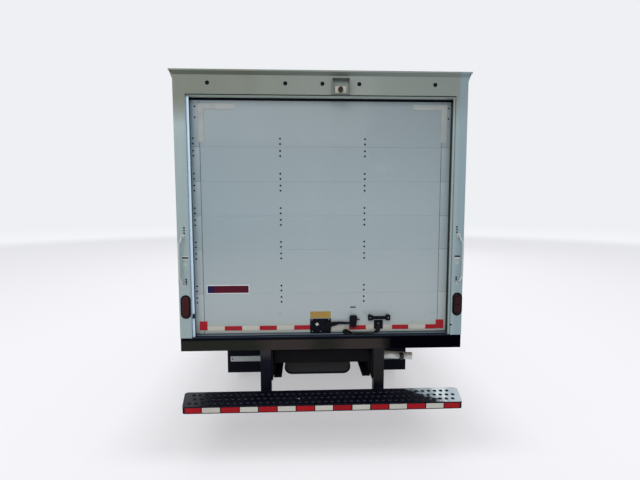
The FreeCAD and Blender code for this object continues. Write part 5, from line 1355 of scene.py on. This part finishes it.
def front_lights():
    """Reflector bowls and bulbs in the front lamps, roof markers and side repeaters."""
    bowls, ambers, bases, lenses = forms(4)
    lamp_height, radius = 0.815, 0.062
    across_turn = Matrix.Rotation(math.pi / 2, 4, "Z")
    upright = Vector((0, 0, 1))
    for side in (-1, 1):
        for x in (0.640, 0.775):
            centre = met("front_lamps", (side * x, AHEAD, lamp_height), BACKWARDS)[0] - Vector((0, 0.0285, 0))
            turned(bowls, [(0.0, 0.0), (0.001, 0.018), (0.006, radius * 0.62), (0.014, radius * 0.86),
                           (0.024, radius), (0.025, radius + 0.003), (0.0, radius + 0.003)], centre,
                           (0, 1, 0), 36)
            turned(bowls, [(0.002, 0), (0.002, 0.011), (0.016, 0.010), (0.020, 0.006), (0.021, 0)], centre,
                   (0, 1, 0), 16)
        point, normal = met("front_lamps", (side * 0.880, AHEAD, lamp_height), BACKWARDS)
        across = upright.cross(normal).normalized()
        turn = Matrix((across, upright, across.cross(upright))).transposed().to_4x4()
        fitted(ambers, Matrix.Translation(point - normal * 0.022) @ turn, (-0.042, -0.066, -0.004),
               (0.042, 0.066, 0.004), 0.003)
        turn = seated("cab_front", (side * 1.4, CAB_FACE - 0.085, 1.035), (-side, 0, 0), (0, 1, 0))
        lamp_block(bases, lenses, turn @ Matrix.Translation((0, 0, -0.003)), 0.050, 0.028, 0.014)
    for x in (-0.62, -0.12, 0, 0.12, 0.62):
        turn = seated("cab_roof", (x, AHEAD, CAB_TOP - 0.085), BACKWARDS) @ across_turn
        domed(bases, [(capsule(0.044, 0.104), -0.001), (capsule(0.044, 0.104), 0.006)], turn)
        domed(lenses, [(capsule(0.036, 0.094), 0.004), (capsule(0.034, 0.090), 0.016),
                       (capsule(0.020, 0.070), 0.024)],
              turn)
    piece("lamp_bowls", bowls, "reflector", "cab")
    piece("turn_lamps", ambers, "lens amber", "cab")
    piece("cab_lamp_bases", bases, "rubber", "cab")
    piece("cab_lamp_lenses", lenses, "lens amber", "cab")


def front_details():
    """Grille mesh and frame, radiator core, panel seams, the blank plate and the studs of the step treads."""
    mesh, surround, core, plate, seams = forms(5)
    low, high = (Vector(corner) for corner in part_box("grille"))
    inset = 0.006
    ring = [(low.x + inset, low.z + inset), (high.x - inset, low.z + inset), (high.x - inset, high.z - inset),
            (low.x + inset, high.z - inset)]
    starts = [(x + (after_x - x) * step / 12, AHEAD, z + (after_z - z) * step / 12)
              for (x, z), (after_x, after_z) in zip(ring, ring[1:] + ring[:1]) for step in range(12)]
    loop(surround, traced("grille", starts, BACKWARDS), 0.008)
    piece("grille_surround", surround, "rail metal", "cab")
    for index in range(60):
        x = low.x + 0.035 + (high.x - low.x - 0.07) * index / 59
        tube(mesh, [(x, CAB_FACE - 0.036, low.z + 0.02), (x, CAB_FACE - 0.036, high.z - 0.02)], 0.0014, 4)
    piece("grille_mesh", mesh, "black plastic", "cab")
    block(core, (low.x + 0.004, CAB_FACE - 0.062, low.z + 0.004),
          (high.x - 0.004, CAB_FACE - 0.050, high.z - 0.004))
    for level in range(26):
        z = low.z + 0.014 + (high.z - low.z - 0.028) * level / 25
        block(core, (low.x + inset, CAB_FACE - 0.0505, z - 0.0018),
              (high.x - inset, CAB_FACE - 0.046, z + 0.0018))
    piece("radiator_core", core, "dark steel", "cab")
    face = met("front_bumper", (0, 4.6, 0.50), BACKWARDS)[0].y
    block(plate, (-0.1525, face - 0.001, 0.425), (0.1525, face + 0.001, 0.577), 0.0003)
    piece("front_plate", plate, "blank plate")
    grown("front_plate_bolts", "plated steel",
          [row((-0.089, face + 0.001, 0.562), (0.178, 0, 0), 2, TO_FRONT)], rivet(0.006, 0.0008, 12))
    for level in (1.045, 1.318):
        starts = [(-0.93 + 1.86 * step / 48, AHEAD, level) for step in range(49)]
        tube(seams, traced("cab_front", starts, BACKWARDS), 0.0022, 5)
    piece("front_seams", seams, "rubber", "cab")
    treads = [row((side * 0.945, 2.965, 0.475), (-side * 0.034, 0, 0), 6, rows=13, row_step=(0, 0.034, 0))
              for side in (-1, 1)]
    grown("cab_step_studs", "dark steel", treads, rivet(0.008, 0.003), "cab")


def bumper_lamps():
    """Two round fog lamps let into the front bumper."""
    form, cutter, rings, bowls, covers = forms(5)
    form.from_mesh(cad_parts["front_bumper"].data)
    for side in (-1, 1):
        point, _ = met("front_bumper", (side * 0.66, 4.6, 0.50), BACKWARDS)
        turned(cutter, [(-0.030, 0), (-0.030, 0.066), (0.010, 0.066), (0.010, 0)], point, (0, 1, 0), 40)
        turned(rings, [(-0.029, 0.0655), (-0.001, 0.0655), (-0.001, 0.060), (-0.008, 0.056),
                       (-0.029, 0.056)], point,
               (0, 1, 0), 40, closed=True)
        turned(bowls, [(-0.029, 0), (-0.029, 0.0555), (-0.010, 0.0555), (-0.014, 0.044), (-0.022, 0.022),
                       (-0.024, 0.010), (-0.016, 0.009), (-0.014, 0)], point, (0, 1, 0), 40)
        turned(covers, [(-0.009, 0), (-0.009, 0.0555), (-0.006, 0.0550), (-0.0035, 0.038),
                        (-0.002, 0)], point,
               (0, 1, 0), 40)
    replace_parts(piece("front_bumper_shell", bored(form, cutter), "cab paint"), "front_bumper")
    piece("fog_lamp_rings", rings, "rubber")
    piece("fog_lamp_bowls", bowls, "reflector")
    piece("fog_lamp_covers", covers, "clear lens")


def mirror_pieces():
    """Rounded mirror housings with flat and wide glasses, on tubular arms."""
    shells, glasses, arms = forms(3)
    low, high = (Vector(corner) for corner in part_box("mirrors"))
    for side, name in SIDES:
        left, right = span(side, high.x - 0.166, high.x)
        block(shells, (left, low.y, 1.480), (right, high.y, 1.830), 0.020)
        for foot, top in ((1.600, 1.813), (1.496, 1.586)):
            block(glasses, (left + 0.013, low.y - 0.0005, foot), (right - 0.013, low.y + 0.004, top), 0.0020)
        stem_x, stem_y = side * (high.x - 0.131), low.y + 0.040
        for level, into in ((low.z + 0.014, 1.56), (high.z - 0.014, 1.75)):
            bend = Vector((stem_x, stem_y, level))
            ends = [met(node, bend, (-side, 0, 0))[0] for node in ("cab_front", "cab_roof", "door_" + name)]
            end = max((point for point in ends if point), key=lambda point: abs(point.x),
                      default=Vector((side * 0.95, stem_y, level)))
            tube(arms, [end, bend + Vector((-side * 0.05, 0, 0)), bend, (stem_x, stem_y, into)],
                 0.0125, 12, 2)
            turned(arms, [(-0.001, 0), (-0.001, 0.026), (0.006, 0.024), (0.010, 0.016), (0.010, 0)], end,
                   (side, 0, 0), 20)
    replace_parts(piece("mirror_shells", shells, "black plastic", "cab"), "mirrors")
    piece("mirror_glasses", glasses, "mirror glass", "cab")
    piece("mirror_arms", arms, "black plastic", "cab")


# Inside the cab

CLOTH_STEPS = 20
CHANNEL_PITCH = 0.095


def blown_up(made, swell):
    """Lets the cloth solver swell a mesh, with no point moved further than swell."""
    start = [vertex.co.copy() for vertex in made.data.vertices]
    cloth = made.modifiers.new("Cloth", "CLOTH")
    cloth.settings.use_pressure = True
    cloth.settings.uniform_pressure_force = 4.0
    cloth.settings.effector_weights.gravity = 0.0
    cloth.point_cache.frame_start, cloth.point_cache.frame_end = 1, CLOTH_STEPS
    for step in range(CLOTH_STEPS):
        scene.frame_set(step + 1)
    blown = evaluated(made)
    made.modifiers.clear()
    scene.frame_set(1)
    for vertex, before in zip(blown.vertices, start):
        move = vertex.co - before
        if move.length > swell:
            vertex.co = before + move.normalized() * swell
    made.data = blown


def cushion(name, low, high, swell=0.012, sewn=None):
    """A padded block: remeshed, blown up a little, then sewn in channels across one face.

    Sewn holds the way that the channelled face looks and the way that the channels run.
    """
    low, high = Vector(low), Vector(high)
    form = bmesh.new()
    block(form, low + Vector((swell,) * 3), high - Vector((swell,) * 3), 0.030)
    made = linked(name, mesh_of(name, form))
    voxels = made.modifiers.new("Remesh", "REMESH")
    voxels.mode, voxels.voxel_size = "VOXEL", 0.010
    even = evaluated(made)
    made.modifiers.clear()
    made.data = even
    blown_up(made, swell)
    if sewn:
        facing, run = Vector(sewn[0]), Vector(sewn[1])
        edge, end_share, depth, width = 0.055, 0.82, 0.008, 0.011
        middle, reach = (low + high) / 2, (high - low) / 2
        count = max(2, round((2 * reach.x - 2 * edge) / CHANNEL_PITCH))
        pitch = (2 * reach.x - 2 * edge) / count
        for vertex in made.data.vertices:
            place = (vertex.co.x - middle.x + reach.x - edge) / pitch
            along = abs((vertex.co - middle).dot(run)) / abs(reach.dot(run))
            if vertex.normal.dot(facing) > 0.5 and -0.1 < place < count + 0.1 and along < end_share:
                near = abs(place - round(place)) * pitch
                fade = min(1, (end_share - along) * 12)
                vertex.co -= facing * depth * math.exp(-(near / width) ** 2) * fade
    for face in made.data.polygons:
        face.use_smooth = True
    dressed(made, "seat cloth", "cab")
    return made


def seats():
    """The driver's seat and the bench beside it, each padded in two, with head rests on posts."""
    base = bmesh.new()
    low, high = (Vector(corner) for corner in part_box("seats"))
    gap_low, gap_high = -0.280, -0.240
    for name, left, right, rests in (("driver", low.x, gap_low, (0.5,)),
                                     ("bench", gap_high, high.x, (0.27, 0.73))):
        seat = cushion("seat_cushion_" + name, (left, low.y + 0.100, low.z + 0.030),
                       (right, high.y, low.z + 0.200), sewn=((0, 0, 1), (0, 1, 0)))
        cushion("seat_back_" + name, (left, low.y, low.z + 0.195), (right, low.y + 0.120, high.z - 0.150),
                sewn=((0, 1, 0), (0, 0, 1)))
        block(base, (left + 0.03, low.y + 0.02, low.z), (right - 0.03, high.y - 0.03, low.z + 0.050), 0.006)
        if name == "driver":
            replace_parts(seat, "seats")
        for index, share in enumerate(rests):
            x = left + (right - left) * share
            cushion("head_rest_%s_%d" % (name, index), (x - 0.125, low.y + 0.010, high.z - 0.150),
                    (x + 0.125, low.y + 0.105, high.z - 0.002), 0.008)
            for post in (x - 0.05, x + 0.05):
                tube(base, [(post, low.y + 0.06, high.z - 0.20),
                            (post, low.y + 0.06, high.z - 0.10)], 0.006, 8)
    piece("seat_bases", base, "black plastic", "cab")


def steering_wheel():
    """The smooth wheel, its three spokes and its hub, square to the column."""
    wheel = bmesh.new()
    slope = Vector((0, -0.5, 0.85)).normalized()
    centre = Vector((-0.5, CAB_FACE - 0.400, 1.240)) + slope * 0.320
    side = Vector((1, 0, 0))
    up = slope.cross(side)
    loop(wheel, circle(centre, 0.200, side, up, 48), 0.0165, 12)
    for angle in (0.0, math.pi, -math.pi / 2):
        tip = centre + 0.195 * (side * math.cos(angle) + up * math.sin(angle))
        tube(wheel, [centre - slope * 0.010, centre.lerp(tip, 0.5) - slope * 0.004, tip], 0.0145, 8, 1)
    turned(wheel, [(-0.030, 0), (-0.030, 0.045), (0.004, 0.062), (0.016, 0.056), (0.020, 0.040),
                   (0.021, 0)], centre,
           slope, 32)
    piece("steering_wheel", wheel, "black plastic", "cab")


def dash_pieces():
    """Instrument hood, dials, vents, blank radio and glove box, then the pedals and the gear lever."""
    hood, dials, kit = forms(3)
    face = CAB_FACE - 0.430
    block(hood, (-0.72, face - 0.012, 1.350), (-0.28, face + 0.10, 1.392), 0.012)
    for x in (-0.61, -0.50, -0.39):
        turned(dials, [(-0.002, 0), (-0.002, 0.044), (0.007, 0.042), (0.007, 0.038),
                       (0.002, 0.036), (0.002, 0)],
               (x, face, 1.285), BACKWARDS, 28)
    for x in (-0.86, -0.12, 0.22, 0.82):
        block(hood, (x - 0.06, face - 0.006, 1.270), (x + 0.06, face + 0.010, 1.318), 0.004)
        for line in range(4):
            z = 1.2745 + 0.011 * line
            block(dials, (x - 0.052, face - 0.0085, z), (x + 0.052, face - 0.004, z + 0.0045))
    block(hood, (-0.02, face - 0.008, 1.190), (0.16, face + 0.01, 1.245), 0.004)
    block(hood, (0.34, face - 0.005, 1.175), (0.76, face + 0.01, 1.325), 0.006)
    piece("dash_panels", hood, "black plastic", "cab")
    piece("dials_and_vents", dials, "dark steel", "cab")
    for x in (-0.62, -0.50, -0.38):
        tube(kit, [(x, CAB_FACE - 0.30, 1.14), (x, CAB_FACE - 0.36, 1.04),
                   (x, CAB_FACE - 0.42, 1.005)], 0.007, 8, 1)
        block(kit, (x - 0.035, CAB_FACE - 0.45, 0.985), (x + 0.035, CAB_FACE - 0.40, 1.005), 0.006)
    tube(kit, [(-0.16, 2.78, 1.19), (-0.17, 2.76, 1.36), (-0.18, 2.74, 1.46)], 0.008, 8, 1)
    turned(kit, [(-0.024, 0), (-0.020, 0.016), (0.0, 0.025), (0.020, 0.016), (0.024, 0)],
           (-0.18, 2.738, 1.475), (0, -0.1, 1), 20)
    piece("pedals_and_lever", kit, "black plastic", "cab")


# Chassis

RAIL = 0.432


def chassis_details():
    """Bolt rows on the rails, spring clamps, the axle's cover, the battery box's straps and the wiring."""
    clips, cover, straps, wires = forms(4)
    bolts = [row((side * RAIL, REAR + 0.20, 0.715), (0, 0.33, 0), 14, TO_SIDE[side], rows=2,
                 row_step=(0, 0, 0.090), stagger=(0, 0.055, 0)) for side in (-1, 1)]
    grown("rail_bolts", "chassis black", bolts, bolt(0.024, 0.010, 0.016))
    for side in (-1, 1):
        for end, lift, low_x, high_x, gap in (("rear", 0.060, RAIL - 0.035, RAIL + 0.035, 0.085),
                                              ("front", 0.040, RAIL - 0.070, RAIL, 0.050)):
            y, seat, foot = AXLES[end], HUB + lift, HUB - lift - 0.020
            left, right = side * (low_x - 0.010), side * (high_x + 0.010)
            for middle in (y - gap, y + gap):
                tube(clips, [(left, middle, foot), (left, middle, seat + 0.050),
                             (right, middle, seat + 0.050), (right, middle, foot)], 0.008, 8, 1)
            inner, outer = span(side, low_x - 0.016, high_x + 0.016)
            block(clips, (inner, y - 0.09, seat + 0.036), (outer, y + 0.09, seat + 0.048), 0.003)
        tube(wires, [(side * 0.395, REAR + 0.20, 0.800), (side * 0.393, -1.6, 0.790),
                     (side * 0.396, -0.4, 0.806), (side * 0.393, 1.2, 0.795)], 0.011, 8, 2)
    piece("spring_clamps", clips, "cast iron")
    turned(cover, [(0.084, 0), (0.084, 0.150), (0.100, 0.145), (0.124, 0.110), (0.138, 0.060), (0.142, 0)],
           (0, AXLES["rear"], HUB), BACKWARDS, 36)
    piece("differential_cover", cover, "cast iron")
    low, high = (Vector(corner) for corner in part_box("battery_box"))
    outer = max(low.x, high.x, key=abs)
    left, right = sorted((outer, outer - math.copysign(0.003, outer)))
    for y in (low.y + 0.12, high.y - 0.12):
        block(straps, (left, y - 0.016, low.z + 0.01), (right, y + 0.016, high.z), 0.0008)
    piece("battery_straps", straps, "webbing")
    piece("rail_harness", wires, "rubber")


for build in (wheels, door_pieces, door_tapes, latch_pieces, pull_strap, tail_lamps, camera_pieces,
              frame_details, step_pieces, flap_pieces, clamps_and_flanges, wall_details, window_seals, wipers,
              door_fittings, front_lights, front_details, bumper_lamps, mirror_pieces, seats,
              steering_wheel, dash_pieces, chassis_details):
    build()


# Camera, light and floor

BACKDROP = (0.855, 0.871, 0.896)


def photo_camera():
    """The photograph's viewpoint: 22.5 mm lens, a little down and to the right."""
    yaw, pitch, roll = math.radians(2.26), math.radians(4.98), math.radians(-0.07)
    ahead = Vector((math.sin(yaw) * math.cos(pitch), math.cos(yaw) * math.cos(pitch), -math.sin(pitch)))
    right = ahead.cross(Vector((0, 0, 1))).normalized()
    up = right.cross(ahead)
    right, up = (math.cos(roll) * right + math.sin(roll) * up, math.cos(roll) * up - math.sin(roll) * right)
    data = bpy.data.cameras.new("Photo camera")
    data.lens, data.sensor_width, data.clip_end = 22.5, 36.0, 200.0
    made = linked("Photo camera", data)
    turn = Matrix((right, up, -ahead)).transposed().to_4x4()
    made.matrix_world = Matrix.Translation((-0.155, -6.678, 2.186)) @ turn
    scene.camera = made


def soft_box(name, place, aim, size, power):
    """A large area lamp."""
    data = bpy.data.lights.new(name, "AREA")
    data.shape = "RECTANGLE"
    data.size, data.size_y = size
    data.energy = power
    made = linked(name, data)
    made.location = place
    made.rotation_euler = (Vector(aim) - Vector(place)).to_track_quat("-Z", "Y").to_euler()
    made.visible_camera = False


def seen_directly(tree):
    """One for what the camera sees, also through glass or in a gloss."""
    rays = node_of(tree, "ShaderNodeLightPath").outputs
    seen = math_of(tree, "MAXIMUM", rays["Is Camera Ray"], rays["Is Transmission Ray"])
    return math_of(tree, "MAXIMUM", seen, rays["Is Glossy Ray"])


def mixed(tree, factor, first, second, end):
    """Ends a tree in two shaders, mixed by a factor."""
    mix = node_of(tree, "ShaderNodeMixShader", {0: factor, 1: first.outputs[0], 2: second.outputs[0]})
    feed(tree, tree.nodes[end], {"Surface": mix.outputs[0]})


def world_light():
    """White where the camera, gloss or glass sees it, and a soft grey light on the object."""
    world = bpy.data.worlds.new("Studio")
    scene.world = world
    world.use_nodes = True
    tree = world.node_tree
    shown = tree.nodes["Background"]
    feed(tree, shown, {"Color": (*BACKDROP, 1), "Strength": 1.0})
    light = node_of(tree, "ShaderNodeBackground", {"Color": (0.93, 0.97, 1.0, 1), "Strength": 0.38})
    mixed(tree, seen_directly(tree), light, shown, "World Output")


def floor():
    """A pale floor that runs to the horizon, with a painted shadow under and beside the truck."""
    reach = 60.0
    mesh = bpy.data.meshes.new("Floor")
    mesh.from_pydata([(x * reach, y * reach, -0.001) for x, y in ((-1, -1), (1, -1), (1, 1), (-1, 1))], [],
                     [(0, 1, 2, 3)])
    pale, tree, shader, place = new_material("pale floor")
    feed(tree, shader, {"Base Color": blended(tree, noise(tree, place, 0.8), (0.80, 0.80, 0.82),
                                              (0.84, 0.84, 0.86)),
                        "Roughness": 0.9, "Specular IOR Level": 0.1})
    away = distance(tree, place)
    across, along, _ = parts_of(tree, place)
    # Painted shadow: under and beside the truck less glow shows, so the floor reads darker there
    under = product(tree, ranged(tree, math_of(tree, "ABSOLUTE", across), 2.10, 1.45),
                    ranged(tree, along, -3.46, -3.20), ranged(tree, along, 3.95, 3.45))
    share = math_of(tree, "MAXIMUM", ranged(tree, under, 0.0, 1.0, 0.76, 0.43), ranged(tree, away, 6.0, 26.0))
    tone = blended(tree, ranged(tree, away, 8.0, 40.0), (0.975, 0.965, 1.0), BACKDROP)
    glow = node_of(tree, "ShaderNodeEmission", {"Color": tone})
    mixed(tree, product(tree, seen_directly(tree), share), shader, glow, "Material Output")
    mesh.materials.append(pale)
    linked("Floor", mesh)


photo_camera()
world_light()
floor()
soft_box("Rear_light", (-2.0, -12.0, 7.0), (0, -3, 1.6), (9.0, 6.0), 560)
soft_box("Top_light", (0.0, 0.0, 9.0), (0, 0, 0), (8.0, 10.0), 480)
soft_box("Front_light", (2.0, 12.0, 7.0), (0, 3, 1.5), (9.0, 6.0), 560)
scene.view_settings.view_transform = "Standard"
